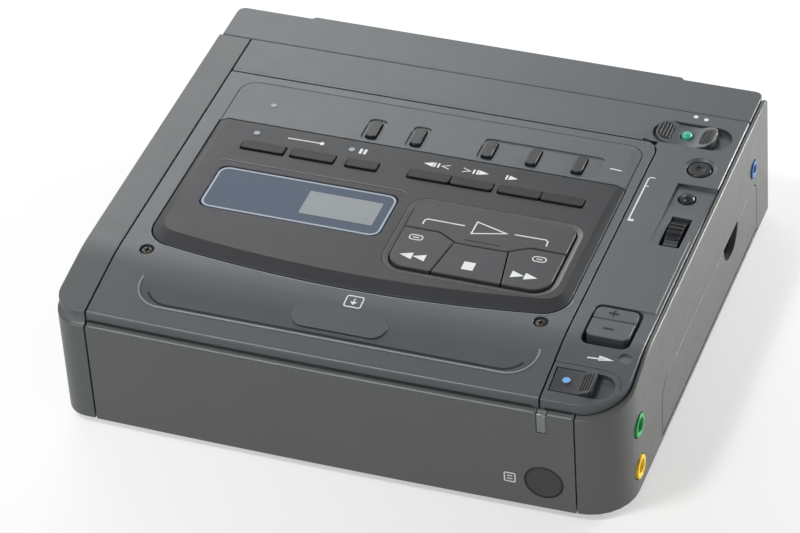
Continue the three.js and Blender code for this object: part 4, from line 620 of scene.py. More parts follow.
@dataclass
class Workshop:
    """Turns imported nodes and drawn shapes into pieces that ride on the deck's bodies.
    """

    frame: dict
    body_of: dict[str, str] = field(default_factory=dict)
    made: list[str] = field(default_factory=list)

    def __post_init__(self) -> None:
        """Notes which body carries each node."""
        for body, nodes in self.frame["record"]["behaviour"]["bodies"].items():
            for node in nodes:
                self.body_of[node] = body

    def settle(self, piece: Object, body: str, finish: Finish) -> Object:
        """Puts a finish on a piece and makes it ride on a body.

        Args:
            piece: The piece, in place.
            body: The body that carries it.
            finish: Its finish.

        Returns:
            The same piece.
        """
        piece.data.materials.clear()
        piece.data.materials.append(finish.material())
        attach(piece, body)
        self.made.append(piece.name)
        LOG.info("%s rides on %s: %d faces", piece.name, body, len(piece.data.polygons))
        return piece

    def link(self, name: str, mesh: Mesh) -> Object:
        """Makes an object of a mesh and links it to the scene.

        Args:
            name: The object's name.
            mesh: Its mesh.

        Returns:
            The object.
        """
        piece = bpy.data.objects.new(name, mesh)
        bpy.context.scene.collection.objects.link(piece)
        return piece

    def clean_copy(self, node: str, merge: float) -> Mesh:
        """Copies a node's mesh, joins its triangles and clears its short edges.

        Args:
            node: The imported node.
            merge: Edges shorter than this many millimetres are closed up.

        Returns:
            A closed mesh with flat faces as they were drawn.
        """
        mesh = self.frame["nodes"][node].data.copy()
        mesh.name = f"{node}_dressed"
        rounds = ((0.002, 0.05), (merge, 0.1)) if merge > 0 else ((0.002, 0.05),)
        with edited(mesh) as solid:
            bmesh.ops.remove_doubles(solid, verts=solid.verts, dist=0.001 * MM)
            for short, flat in rounds:
                bmesh.ops.dissolve_degenerate(solid, edges=solid.edges, dist=short * MM)
                bmesh.ops.dissolve_limit(solid, angle_limit=math.radians(flat), verts=solid.verts,
                                         edges=solid.edges)
        return mesh

    def bake(self, piece: Object) -> Object:
        """Replaces a piece's mesh by its evaluated one and drops the modifiers.

        Args:
            piece: The piece.

        Returns:
            The same piece.
        """
        graph = bpy.context.evaluated_depsgraph_get()
        plain = bpy.data.meshes.new_from_object(piece.evaluated_get(graph))
        piece.modifiers.clear()
        piece.data = plain
        plain.name = piece.name
        return piece

    def crease(self, mesh: Mesh, angle: float = 5.0, broad: float = 60.0, thick: float = 0.7
               ) -> None:
        """Keeps the edges of broad faces crisp where a shallow slope starts.

        Args:
            mesh: The mesh, already marked at its sharper edges.
            angle: The least angle between the faces in degrees.
            broad: The least area of the larger face in square millimetres.
            thick: The least thickness of both faces in millimetres.
        """
        with edited(mesh) as solid:
            for edge in solid.edges:
                if not edge.is_manifold or edge.calc_face_angle(0.0) < math.radians(angle):
                    continue
                areas = [face.calc_area() / MM ** 2 for face in edge.link_faces]
                rims = [face.calc_perimeter() / MM for face in edge.link_faces]
                depths = [2 * area / rim for area, rim in zip(areas, rims)]
                if max(areas) > broad and min(depths) > thick:
                    edge.smooth = False

    def polish(self, piece: Object) -> Object:
        """Shades a piece smoothly between its sharp edges.

        Args:
            piece: The piece.

        Returns:
            The same piece with a plain mesh.
        """
        piece.data.shade_smooth()
        piece.data.set_sharp_from_angle(angle=math.radians(38))
        self.crease(piece.data)
        weighted = piece.modifiers.new("normals", "WEIGHTED_NORMAL")
        weighted.keep_sharp = True
        weighted.weight = 100
        return self.bake(piece)

    def complete(self, piece: Object, body: str, finish: Finish) -> Object:
        """Shades a drawn piece and settles it on its body."""
        return self.settle(self.polish(piece), body, finish)

    def soften(self, piece: Object, width: float, rims: Sequence[Rim] = ()) -> Object:
        """Rounds a piece's sharp edges and shades it smoothly between them.

        Args:
            piece: A piece with a closed mesh.
            width: The width of the rounding in millimetres.
            rims: The stretches that are rounded more.

        Returns:
            The same piece with a plain mesh.
        """
        with edited(piece.data) as solid:
            widest = EdgeRounder(solid, width, rims).weigh()
        if widest > 0:
            rounding = piece.modifiers.new("rounding", "BEVEL")
            rounding.width = widest * MM
            rounding.segments = ROUND_STEPS
            rounding.limit_method = "WEIGHT"
            rounding.use_clamp_overlap = False
            rounding.miter_outer = "MITER_ARC"
            self.bake(piece)
        return self.polish(piece)

    def overshoot(self, piece: Object, node: str) -> float:
        """Gives how far a piece reaches out of a node's box, in millimetres.

        Args:
            piece: The piece.
            node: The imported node.

        Returns:
            The farthest reach.
        """
        low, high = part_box(node)
        places = np.array([vertex.co for vertex in piece.data.vertices])
        below = np.array(low) - places.min(axis=0)
        above = places.max(axis=0) - np.array(high)
        return float(max(below.max(), above.max()) / MM)

    def cut(self, piece: Object, tool: Object) -> None:
        """Takes a tool's shape out of a piece and removes the tool.

        Args:
            piece: The piece.
            tool: The shape to take out.
        """
        away = piece.modifiers.new("cut", "BOOLEAN")
        away.operation = "DIFFERENCE"
        away.object = tool
        self.bake(piece)
        bpy.data.objects.remove(tool)

    def dress(self, node: str, finish: Finish, width: float = 0.25, merge: float = 0.13,
              rims: Sequence[Rim] = (), tool: Object | None = None) -> Object:
        """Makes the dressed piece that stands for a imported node.

        Args:
            node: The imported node.
            finish: Its finish.
            width: The rounding of its edges in millimetres.
            merge: Edges shorter than this are closed up first.
            rims: The stretches that are rounded more.
            tool: A shape to take out of it first.

        Returns:
            The piece, on the node's body.
        """
        piece = self.link(f"{node}_skin", self.clean_copy(node, merge))
        if tool is not None:
            self.cut(piece, tool)
        self.soften(piece, width, rims)
        beyond = self.overshoot(piece, node)
        if beyond > 0.02:
            LOG.warning("  %s reaches %.2f mm out of its node: made again without rounding", piece.name,
                        beyond)
            bpy.data.objects.remove(piece)
            piece = self.polish(self.link(f"{node}_skin", self.clean_copy(node, merge)))
        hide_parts(node)
        return self.settle(piece, self.body_of[node], finish)


class Side(Enum):
    """The side of the deck that a mark or a bar looks out of."""

    TOP = 2
    FRONT = 1
    RIGHT = 0

    def point(self, across: float, along: float, depth: float) -> Vector:
        """Gives a place in metres from two millimetres on the side and one along its axis.

        Args:
            across: The place across the side.
            along: The place along it.
            depth: The place on the side's axis.

        Returns:
            The place.
        """
        if self is Side.TOP:
            return Vector((across, along, depth)) * MM
        if self is Side.FRONT:
            return Vector((across, depth, along)) * MM
        return Vector((depth, across, along)) * MM

    @property
    def outward(self) -> float:
        """Gives the direction of the side along its axis."""
        return -1.0 if self is Side.FRONT else 1.0


def arc(across: float, along: float, radius: float, start: float, end: float, steps: int) -> Loop:
    """Gives points on an arc round a centre, from one angle in degrees to another, with both ends."""
    turns = [math.radians(start + (end - start) * step / steps) for step in range(steps + 1)]
    return [(across + radius * math.cos(turn), along + radius * math.sin(turn)) for turn in turns]


def circle(across: float, along: float, radius: float, steps: int) -> Loop:
    """Gives the points of a circle."""
    return arc(across, along, radius, 0, 360, steps)[:-1]


def dot(across: float, along: float, radius: float) -> Loop:
    """Gives the outline of a small round mark."""
    return circle(across, along, radius, 20)


def rounded(left: float, right: float, front: float, back: float, radius: float, steps: int = 6) -> Loop:
    """Gives the points of a rectangle with round corners.

    Args:
        left: Its left edge.
        right: Its right edge.
        front: Its front edge.
        back: Its back edge.
        radius: The corners' radius.
        steps: The steps of each corner.

    Returns:
        The points in order.
    """
    centres = ((right - radius, front + radius), (right - radius, back - radius),
               (left + radius, back - radius), (left + radius, front + radius))
    return [place for index, centre in enumerate(centres)
            for place in arc(*centre, radius, 90 * index - 90, 90 * index, steps)]


def bowed(box: Box, front_radius: float, rear_radius: float, bow: float, grown: float = 0.0) -> Loop:
    """Gives a rectangle with round corners whose front edge is bowed out.

    Args:
        box: Its left, right, front and back edge.
        front_radius: The two front corners' radius.
        rear_radius: The two rear corners' radius.
        bow: How far the middle of the front edge stands out.
        grown: How far the whole outline is grown outward.

    Returns:
        The points in order, from the front edge on and round by the right.
    """
    left, right, front, back = box[0] - grown, box[1] + grown, box[2] - grown, box[3] + grown
    near = front_radius + grown
    far = rear_radius + grown
    start = left + near
    end = right - near
    shares = [step / BOW_STEPS for step in range(1, BOW_STEPS)]
    loop = [(start + (end - start) * share, front - bow * (1 - (2 * share - 1) ** 2)) for share in shares]
    for across, along, radius, turned in ((end, front + near, near, -90),
                                          (right - far, back - far, far, 0),
                                          (left + far, back - far, far, 90),
                                          (start, front + near, near, 180)):
        loop.extend(arc(across, along, radius, turned, turned + 90, BOW_STEPS))
    return loop


@dataclass(frozen=True)
class Line:
    """A line of an even width.

    Args:
        points: The points that it runs through.
        width: Its width in millimetres.
        closed: It runs back to its first point.
    """

    points: Loop
    width: float
    closed: bool = False


@dataclass
class Former:
    """Draws closed solids, in millimetres, into one mesh."""

    solid: BMesh = field(default_factory=bmesh.new)

    def stack(self, rings: Sequence[Sequence[Vector]], hollow: bool = False) -> Former:
        """Joins rings of points into a closed body.

        Args:
            rings: Rings with as many points each, in metres.
            hollow: The last ring joins the first one, and there are no end faces.

        Returns:
            The former itself.
        """
        rows = [[self.solid.verts.new(place) for place in ring] for ring in rings]
        pairs = list(zip(rows, rows[1:]))
        if hollow:
            pairs.append((rows[-1], rows[0]))
        for low, high in pairs:
            for index in range(len(low)):
                after = (index + 1) % len(low)
                self.solid.faces.new((low[index], low[after], high[after], high[index]))
        if not hollow:
            self.solid.faces.new(list(reversed(rows[0])))
            self.solid.faces.new(rows[-1])
        return self

    def prism(self, side: Side, loop: Loop, low: float, high: float) -> Former:
        """Adds a prism of an outline between two depths."""
        return self.stack([[side.point(*place, depth) for place in loop] for depth in (low, high)])

    def turned(self, side: Side, centre: Point, profile: Sequence[Point], steps: int,
               hollow: bool = False) -> Former:
        """Adds a turned body from each ring's radius and depth; a hollow one is closed as a ring is."""
        return self.stack([[side.point(*place, depth) for place in circle(*centre, radius, steps)]
                           for radius, depth in profile], hollow)

    def part(self, shop: Workshop, name: str) -> Object:
        """Gives what was drawn as an object."""
        return shop.link(name, closed_mesh(self.solid, name))


@dataclass
class Stencil:
    """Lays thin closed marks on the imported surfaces, so that each follows what lies under it.

    Args:
        nodes: The nodes that the marks may lie on.
        side: The side that they look out of.
        lift: How far a mark stands above the surface, in millimetres.
        sink: How far it reaches below it.
        grid: The longest step of a stroke, in millimetres.
        away: How far from the middle of the deck the surface is looked for.
    """

    frame: dict
    nodes: tuple[str, ...]
    side: Side = Side.TOP
    lift: float = 0.03
    sink: float = 0.06
    grid: float = 3.0
    away: float = 200.0

    def __post_init__(self) -> None:
        """Gathers the surfaces and starts an empty mesh."""
        places: list[Vector] = []
        faces: list[tuple[int, ...]] = []
        for node in self.nodes:
            mesh = self.frame["nodes"][node].data
            start = len(places)
            places.extend(vertex.co.copy() for vertex in mesh.vertices)
            faces.extend(tuple(start + index for index in face.vertices) for face in mesh.polygons)
        self.surface = BVHTree.FromPolygons(places, faces)
        self.solid = bmesh.new()

    def depth(self, across: float, along: float) -> float:
        """Gives the surface's depth under a place, in millimetres.

        Args:
            across: The place across the side.
            along: The place along it.

        Returns:
            The depth on the side's axis.
        """
        start = self.side.point(across, along, self.away * self.side.outward)
        heading = self.side.point(0, 0, -self.side.outward).normalized()
        hit = self.surface.ray_cast(start, heading)[0]
        if hit is None:
            raise ValueError(f"no surface under {across:.2f}, {along:.2f}")
        return hit[self.side.value] / MM

    def pair(self, across: float, along: float) -> tuple[BMVert, BMVert]:
        """Adds the upper and the lower point of a place.

        Args:
            across: The place across the side.
            along: The place along it.

        Returns:
            Both points.
        """
        here = self.depth(across, along)
        out = self.side.outward
        return (self.solid.verts.new(self.side.point(across, along, here + self.lift * out)),
                self.solid.verts.new(self.side.point(across, along, here - self.sink * out)))

    def plate(self, loop: Loop) -> None:
        """Adds a filled mark with a convex outline.

        Args:
            loop: The outline.
        """
        pairs = [self.pair(across, along) for across, along in loop]
        self.solid.faces.new([pair[0] for pair in pairs])
        self.solid.faces.new([pair[1] for pair in reversed(pairs)])
        for one, two in zip(pairs, pairs[1:] + pairs[:1]):
            self.solid.faces.new((one[0], one[1], two[1], two[0]))

    def wrap(self, rows: Sequence[Sequence[BMVert]], closed: bool = False) -> None:
        """Joins cross-sections of four points into a closed strip.

        Args:
            rows: The upper and lower point on one side and then on the other, row by row.
            closed: The last row joins the first one.
        """
        for one, two in zip(rows, rows[1:] + rows[:1] if closed else rows[1:]):
            for first, second in ((0, 2), (2, 3), (3, 1), (1, 0)):
                self.solid.faces.new((one[first], one[second], two[second], two[first]))
        if not closed:
            for row in (rows[0], rows[-1]):
                self.solid.faces.new((row[0], row[2], row[3], row[1]))

    def stroke(self, line: Line) -> None:
        """Adds a line with mitred corners.

        Args:
            line: The line.
        """
        points = line.points
        closed = line.closed
        path: Loop = []
        ends = points[1:] + points[:1] if closed else points[1:]
        for one, two in zip(points, ends):
            parts = max(1, math.ceil(math.dist(one, two) / self.grid))
            path.extend((one[0] + (two[0] - one[0]) * part / parts,
                         one[1] + (two[1] - one[1]) * part / parts) for part in range(parts))
        if not closed:
            path.append(points[-1])
        sides = []
        count = len(path)
        for index, place in enumerate(path):
            before = path[index - 1] if closed or index > 0 else None
            after = path[(index + 1) % count] if closed or index < count - 1 else None
            sides.append(self.edges(before, place, after, line.width / 2))
        self.wrap([(*self.pair(*left), *self.pair(*right)) for left, right in sides], closed)

    def front_band(self, places: Sequence[float], low: float, high: float) -> None:
        """Adds a thin band on the upright walls that face the front.

        Args:
            places: Where it runs across; places in front of no wall are left out.
            low: The band's lower edge.
            high: Its upper edge.
        """
        inward = Vector((0.0, 1.0, 0.0))
        rows = []
        for place in places:
            starts = [Vector((place, -self.away, height)) * MM for height in (low, high)]
            hits = [self.surface.ray_cast(start, inward)[0] for start in starts]
            if None not in hits:
                rows.append([self.solid.verts.new(hit + inward * deep * MM)
                             for hit in hits for deep in (-self.lift, self.sink)])
        self.wrap(rows)

    @staticmethod
    def edges(before: Point | None, place: Point, after: Point | None, half: float) -> tuple[Point, Point]:
        """Gives the left and right points of a stroke at one of its points.

        Args:
            before: The point before it, if there is one.
            place: The point.
            after: The point after it, if there is one.
            half: Half the stroke's width.

        Returns:
            The left and the right point.
        """
        headings = [math.atan2(two[1] - one[1], two[0] - one[0])
                    for one, two in ((before, place), (place, after)) if one is not None and two is not None]
        turn = (headings[-1] - headings[0] + math.pi) % (2 * math.pi) - math.pi
        heading = headings[0] + turn / 2 + math.pi / 2
        reach = half / max(0.3, math.cos(turn / 2))
        step = (reach * math.cos(heading), reach * math.sin(heading))
        return (place[0] + step[0], place[1] + step[1]), (place[0] - step[0], place[1] - step[1])

    def piece(self, shop: Workshop, name: str, body: str, finish: Finish, soft: float = 0.0
              ) -> Object:
        """Makes the marks one piece that rides on a body.

        Args:
            shop: The workshop that settles it.
            name: Its name.
            body: The body that carries it.
            finish: Its finish.
            soft: The rounding of its edges in millimetres.

        Returns:
            The piece.
        """
        piece = shop.link(name, closed_mesh(self.solid, name))
        if soft > 0:
            shop.soften(piece, soft)
        return shop.settle(piece, body, finish)


class Repeater(Graph):
    """A node tree that repeats one part at given spots."""

    def __init__(self) -> None:
        """Joins the spots, the part, the realizing and the material."""
        super().__init__(bpy.data.node_groups.new("repeat", "GeometryNodeTree"))
        sockets = self.tree.interface
        self.keys: dict[str, str] = {}
        for name, kind in (("Spots", "Geometry"), ("Part", "Object"), ("Finish", "Material")):
            socket = sockets.new_socket(name, in_out="INPUT", socket_type=f"NodeSocket{kind}")
            self.keys[name] = socket.identifier
        sockets.new_socket("Result", in_out="OUTPUT", socket_type="NodeSocketGeometry")
        entry = self.add("NodeGroupInput").outputs
        part = self.add("GeometryNodeObjectInfo", {"Object": entry["Part"]}, transform_space="ORIGINAL")
        spread = self.add("GeometryNodeInstanceOnPoints",
                          {"Points": entry["Spots"], "Instance": part.outputs["Geometry"]})
        real = self.add("GeometryNodeRealizeInstances", {"Geometry": spread.outputs["Instances"]})
        paint = self.add("GeometryNodeSetMaterial",
                         {"Geometry": real.outputs["Geometry"], "Material": entry["Finish"]})
        self.add("NodeGroupOutput", {"Result": paint.outputs["Geometry"]})

    def run(self, shop: Workshop, name: str, body: str, finish: Finish, part: Object,
            spots: Iterable[Sequence[float]]) -> Object:
        """Repeats a part and gives the result as one plain piece.

        Args:
            shop: The workshop that bakes and settles the piece.
            name: The piece's name.
            body: The body that carries it.
            finish: Its finish.
            part: The part to repeat, which is removed afterwards.
            spots: The places in millimetres.

        Returns:
            The piece.
        """
        mesh = bpy.data.meshes.new(name)
        mesh.from_pydata([tuple(Vector(spot) * MM) for spot in spots], [], [])
        piece = shop.link(name, mesh)
        repeat = piece.modifiers.new("repeat", "NODES")
        repeat.node_group = self.tree
        repeat[self.keys["Part"]] = part
        repeat[self.keys["Finish"]] = finish.material()
        shop.bake(piece)
        bpy.data.objects.remove(part)
        return shop.complete(piece, body, finish)


@dataclass
class Studio:
    """The floor, the lights and the camera.

    Args:
        lens: The focal length in millimetres on a 36 mm sensor.
        eye: The camera's place in metres.
        right: The picture's direction to the right.
        down: The picture's direction down.
        ahead: The direction that the camera looks in.
        ambient: The strength of the room's even light.
        paper: The share of plain white in the floor as it is seen.
        dusk: What is left of that white at the front right, as painted shade.
        dusk_heading: Where the painted shade darkens the floor to.
        dusk_reach: How far off it has darkened, in metres.
        horizon: The height, as a share of straight up, where the white room starts to darken.
        ceiling: The height where it has darkened.
        overhead: The strength of the mirrored ceiling.
    """

    lens: float = 181.549
    eye: Triple = (0.29855035, -0.74452487, 0.66470394)
    right: Triple = (0.94014353, 0.33626137, -0.05530313)
    down: Triple = (0.17175039, -0.60771189, -0.77536318)
    ahead: Triple = (-0.29433305, 0.71945434, -0.62908943)
    ambient: float = 0.44
    paper: float = 0.56
    dusk: float = 0.68
    dusk_heading: Triple = (0.7, -0.7, 0.0)
    dusk_reach: float = 0.16
    horizon: float = 0.6
    ceiling: float = 0.92
    overhead: float = 0.12

    def camera(self) -> None:
        """Sets the camera where the photograph was taken."""
        lens = bpy.data.cameras.new("camera")
        lens.lens = self.lens
        lens.sensor_width = 36.0
        lens.clip_start = 0.01
        lens.clip_end = 50.0
        holder = bpy.data.objects.new("camera", lens)
        bpy.context.scene.collection.objects.link(holder)
        turned = Matrix((self.right, [-value for value in self.down], [-value for value in self.ahead]))
        holder.matrix_world = Matrix.Translation(Vector(self.eye)) @ turned.transposed().to_4x4()
        bpy.context.scene.camera = holder

    def softbox(self, name: str, place: Triple, aim: Triple, size: float, power: float) -> None:
        """Hangs a square soft light.

        Args:
            name: Its name.
            place: Where it hangs, in metres.
            aim: What it points at.
            size: Its side in metres.
            power: Its power in watts.
        """
        light = bpy.data.lights.new(name, "AREA")
        light.shape = "SQUARE"
        light.size = size
        light.energy = power
        lamp = bpy.data.objects.new(name, light)
        bpy.context.scene.collection.objects.link(lamp)
        lamp.location = place
        lamp.rotation_euler = (Vector(aim) - Vector(place)).to_track_quat("-Z", "Y").to_euler()

    def floor(self) -> None:
        """Lays a white floor that keeps the deck's soft shadow, with painted shade that darkens it to the
        front right.
        """
        bpy.ops.mesh.primitive_plane_add(size=12.0)
        floor = bpy.context.active_object
        floor.name = "floor"
        paper = bpy.data.materials.new("floor_white")
        paper.use_nodes = True
        graph = Graph(paper.node_tree)
        matt = paper.node_tree.nodes["Principled BSDF"]
        graph.fill(matt, {"Base Color": (0.86, 0.86, 0.855, 1.0), "Roughness": 0.9,
                          "Specular IOR Level": 0.0})
        place = graph.add("ShaderNodeTexCoord").outputs["Object"]
        # Painted shade: the seen white fades towards the front right, standing in for the light falling off
        # there.
        ahead = graph.add("ShaderNodeVectorMath", {0: place, 1: self.dusk_heading}, operation="DOT_PRODUCT")
        fade = graph.ranged(ahead.outputs["Value"], (0.0, self.dusk_reach), (1.0, self.dusk))
        white = graph.add("ShaderNodeEmission", {"Color": (1.0, 1.0, 0.985, 1.0), "Strength": fade})
        graph.surface(matt.outputs["BSDF"], white.outputs["Emission"], "Material Output", self.paper)
        floor.data.materials.append(paper)

    def world(self) -> None:
        """Lights the room evenly, and shows and mirrors it white up to a darker ceiling."""
        room = bpy.data.worlds.new("room")
        room.use_nodes = True
        bpy.context.scene.world = room
        graph = Graph(room.node_tree)
        soft = room.node_tree.nodes["Background"]
        graph.fill(soft, {"Color": (0.97, 0.985, 1.0, 1.0), "Strength": self.ambient})
        heading = graph.add("ShaderNodeTexCoord").outputs["Generated"]
        height = graph.add("ShaderNodeSeparateXYZ", {"Vector": heading}).outputs["Z"]
        fade = graph.ranged(height, (self.horizon, self.ceiling), (1.0, self.overhead), "SMOOTHSTEP")
        white = graph.add("ShaderNodeBackground", {"Strength": fade})
        graph.surface(soft.outputs["Background"], white.outputs["Background"], "World Output")

    def build(self) -> None:
        """Sets up the whole studio."""
        bpy.context.scene.view_settings.view_transform = "Standard"
        self.camera()
        self.floor()
        self.world()
        self.softbox("softbox_back", (-0.43, 0.6, 0.5), (-0.01, 0.06, 0.03), 0.48, 2.3)
        self.softbox("softbox_top", (-0.38, -0.42, 1.15), (0.0, 0.0, 0.0), 0.2, 8.8)
        self.softbox("softbox_right", (0.42, 0.4, 0.11), (0.07, 0.06, 0.03), 0.18, 4.4)
        self.softbox("softbox_left", (-0.48, -0.6, 0.3), (-0.04, -0.06, 0.02), 0.35, 1.0)


@dataclass
class Section:
    """A section of the deck, with what every section does.

    Args:
        shop: The workshop that makes its pieces.
        repeater: The node tree that repeats parts.
        screw_arm: The reach of a screw's cross, as a share of its radius.
        screw_slot: Half the width of its slots, as a share of its radius.
        screw_floor: The height of its floor, as a share of its height.
    """

    shop: Workshop
    repeater: Repeater
    screw_arm: float = 0.62
    screw_slot: float = 0.16
    screw_floor: float = 0.35

    def dress(self, finish: Finish, width: float, *nodes: str, **how: object) -> None:
        """Dresses nodes in one finish, with their edges rounded to one width."""
        for node in nodes:
            self.shop.dress(node, finish, width, **how)

    def lay(self, name: str, finish: Finish, nodes: tuple[str, ...], marks: Iterable[Line | Loop],
            side: Side = Side.TOP, lift: float = 0.03, soft: float = 0.0) -> None:
        """Lays lines and filled marks on nodes as one piece, on the body of the first node.

        Args:
            name: The piece's name.
            finish: Its finish.
            nodes: The nodes that the marks lie on.
            marks: Lines, and the outlines of filled marks.
            side: The side that they look out of.
            lift: How far they stand above the surface, in millimetres.
            soft: The rounding of their edges.
        """
        stencil = Stencil(self.shop.frame, nodes, side, lift)
        for mark in marks:
            if isinstance(mark, Line):
                stencil.stroke(mark)
            else:
                stencil.plate(mark)
        stencil.piece(self.shop, name, self.shop.body_of[nodes[0]], finish, soft)

    def scatter(self, name: str, body: str, finish: Finish, part: Object,
                spots: Iterable[Sequence[float]]) -> Object:
        """Repeats a part at spots in millimetres and gives the piece."""
        return self.repeater.run(self.shop, name, body, finish, part, spots)

    def prism(self, name: str, side: Side, loop: Loop, low: float, high: float) -> Object:
        """Makes a prism an object of its own."""
        return Former().prism(side, loop, low, high).part(self.shop, name)

    def turned(self, name: str, side: Side, profile: Sequence[Point], steps: int) -> Object:
        """Makes a body that is turned about the origin an object of its own."""
        return Former().turned(side, (0.0, 0.0), profile, steps).part(self.shop, name)

    def screw(self, radius: float, height: float) -> Object:
        """Makes one pan head with a cross recess, on the origin and facing up.

        Args:
            radius: The head's radius in millimetres.
            height: The head's height.

        Returns:
            The part.
        """
        profile = [(radius * share, height * rise)
                   for share, rise in ((1.0, 0.0), (1.0, 0.6), (0.85, 0.9), (0.5, 1.0))]
        part = self.turned("screw_head", Side.TOP, profile, 28)
        arm = radius * self.screw_arm
        slot = radius * self.screw_slot
        quarter = [(slot, slot), (slot, arm), (-slot, arm)]
        cross = quarter + [(-along, across) for across, along in quarter]
        cross += [(-across, -along) for across, along in cross]
        floor = height * self.screw_floor
        self.shop.cut(part, self.prism("screw_cross", Side.TOP, cross, floor, height * 2))
        return part


@dataclass
class Case(Section):
    """The outer covers, the feet, and the fixed windows and sockets."""

    rims: tuple[Rim, ...] = (
        Rim((-80, -66, 30.5), (80, -63.6, 33.5), 0.8),
        Rim((-75, -66, 30.5), (-73.2, 70, 40), 0.6),
        Rim((73.2, -66, 30.5), (75, 70, 40), 0.6),
        Rim((-80, -63.6, 34.0), (80, -62.2, 37.0), 0.8),
        Rim((71.6, -66, 34.0), (73.2, 60, 40), 0.6),
        Rim((70.0, 60.0, 33.0), (76.0, 70.0, 42.0), 0.6))
    icon: Point = (45.05, 10.0)
    icon_half: float = 1.35
    infrared: Point = (53.7, 10.2)
    lip_front: float = -64.3
    lip_bow: float = 0.35
    lip_runs: tuple[Point, ...] = ((-64.2, 51.9), (55.3, 61.3))
    foot_low: float = 32.62
    foot_high: float = 33.1
    underside: float = 2.25
    corner: Point = (63.0, 38.4)
    corner_radius: float = 2.2
    corner_span: Point = (60.0, 80.0)
    hinge: Point = (35.87, 37.7)
    hinge_reach: float = 1.26
    hinge_lip_turn: Point = (4.0, 62.0)
    hinge_lip_flat: float = 0.66
    hinge_lip_top: float = 38.79
    hinge_lip_back: float = 37.5
    hinge_lip_span: Point = (-64.5, 48.2)
    screw_spots: tuple[Point, ...] = ((-65.0, 0.0), (62.8, 0.0), (0.0, -55.3), (0.0, 54.3))
    jack_face: float = 73.6
    jack_spots: tuple[Point, ...] = ((-51.0, 22.2), (-51.0, 8.9))
    remote_spot: Point = (49.3, 25.0)
    video_spot: Point = (29.9, 11.4)
    socket_floor: float = 64.5
    pin_ring: float = 2.3
    digital_spot: Point = (11.9, 11.4)
    blade_floor: float = 64.2
    blade_pitch: float = 1.2
    contact_start: Triple = (-5.65, 63.4, 18.5)
    contact_pitch: float = 5.0

    def build(self) -> None:
        """Dresses every fixed piece of the case and adds its fittings."""
        self.dress(SHELL, 0.3, "front_panel", merge=0.2, rims=self.rims)
        self.dress(COVER, 0.15, "left_cover", rims=self.rims)
        self.dress(SHELL, 0.15, "right_cover", rims=self.rims, tool=self.corner_tool())
        self.dress(LID, 0.3, "back_cover", merge=0.0)
        self.dress(LID, 0.1, "top_panel", merge=0.1, rims=self.rims)
        self.dress(SHELL, 0.3, "bottom_cover")
        self.dress(SHELL, 0.12, "jack_door")
        self.dress(KEY, 0.2, "battery_plate")
        self.dress(KEY, 0.25, "battery_latch")
        self.dress(RUBBER, 0.4, "foot_front_left", "foot_back_left", "foot_front_right", "foot_back_right")
        self.dress(INFRARED, 0.2, "ir_window")
        self.dress(LAMP, 0.15, "charge_lamp")
        for finish, jack in ((GREEN, "headphone_jack"), (YELLOW, "line_jack"), (BLUE, "remote_jack")):
            self.dress(finish, 0.2, jack)
        self.dress(SOCKET, 0.15, "video_socket")
        self.dress(SHEET, 0.15, "digital_socket")
        self.hinge_lip()
        self.lines()
        self.screws()
        self.jack_sleeves()
        self.socket_pins()

    def corner_tool(self) -> Object:
        """Makes the tool that trims the right cover's rear end and rounds its upper corner.

        Returns:
            The tool.
        """
        radius = self.corner_radius
        back, top = self.corner
        beyond = back + 2
        loop = [(beyond, top + 1), (back - radius, top + 1),
                *arc(back - radius, top - radius, radius, 90, 0, 8), (back, 0.0), (beyond, 0.0)]
        return self.prism("corner_tool", Side.RIGHT, loop, *self.corner_span)

    def hinge_lip(self) -> None:
        """Carries the top panel forward over the round rear edge of the lid."""
        across, along = self.hinge
        loop = [*arc(across, along, self.hinge_reach, *self.hinge_lip_turn, 8),
                (across + self.hinge_lip_flat, self.hinge_lip_top),
                (self.hinge_lip_back, self.hinge_lip_top), (self.hinge_lip_back, along)]
        self.shop.complete(self.prism("hinge_lip", Side.RIGHT, loop, *self.hinge_lip_span), "case", LID)

    def lines(self) -> None:
        """Prints the boxed mark, lays a painted shade ring round the infrared window and beads in a painted
        highlight grey on the lip, and lays a painted shade band at the top panel's foot.
        """
        across, along = self.icon
        half = self.icon_half
        frame = rounded(across - half, across + half, along - half, along + half, 0.3, 3)
        bars = [Line([(across - half / 2, along + rise), (across + half / 2, along + rise)], 0.28)
                for rise in (half / 3, -half / 3)]
        self.lay("front_mark", INK, ("front_panel",), [Line(frame, 0.3, True), *bars], Side.FRONT)
        # Painted shade: a dark ring round the infrared window, where shade falls in the gap.
        ring = Line(circle(*self.infrared, 4.5, 48), 0.3, True)
        self.lay("infrared_surround", PAINTED_SHADE, ("ir_window",), [ring], Side.FRONT)
        # Beads on the front lip, lighter than the panel as a painted highlight.
        runs = [[start + (end - start) * step / 40 for step in range(41)] for start, end in self.lip_runs]
        lips = [Line([(place, self.lip_front + self.lip_bow * (place / 60) ** 2) for place in run], 0.45)
                for run in runs]
        self.lay("front_lip_bead", BEAD_HIGHLIGHT, ("front_panel",), lips, lift=0.14, soft=0.12)
        # Painted shade: a dark band in the groove at the foot of the top panel's front wall.
        foot = Stencil(self.shop.frame, ("top_panel",))
        foot.front_band((54.0, 56.0, 58.0, 60.0, 62.0), self.foot_low, self.foot_high)
        foot.piece(self.shop, "panel_foot_line", "case", PAINTED_SHADE)

    def screws(self) -> None:
        """Screws the bottom cover on."""
        height = 0.9
        part = self.screw(1.75, height)
        part.data.transform(Matrix.Rotation(math.pi, 4, "X"))
        self.scatter("case_screws", "case", SCREW, part, [(*spot, self.underside + height)
                                                          for spot in self.screw_spots])

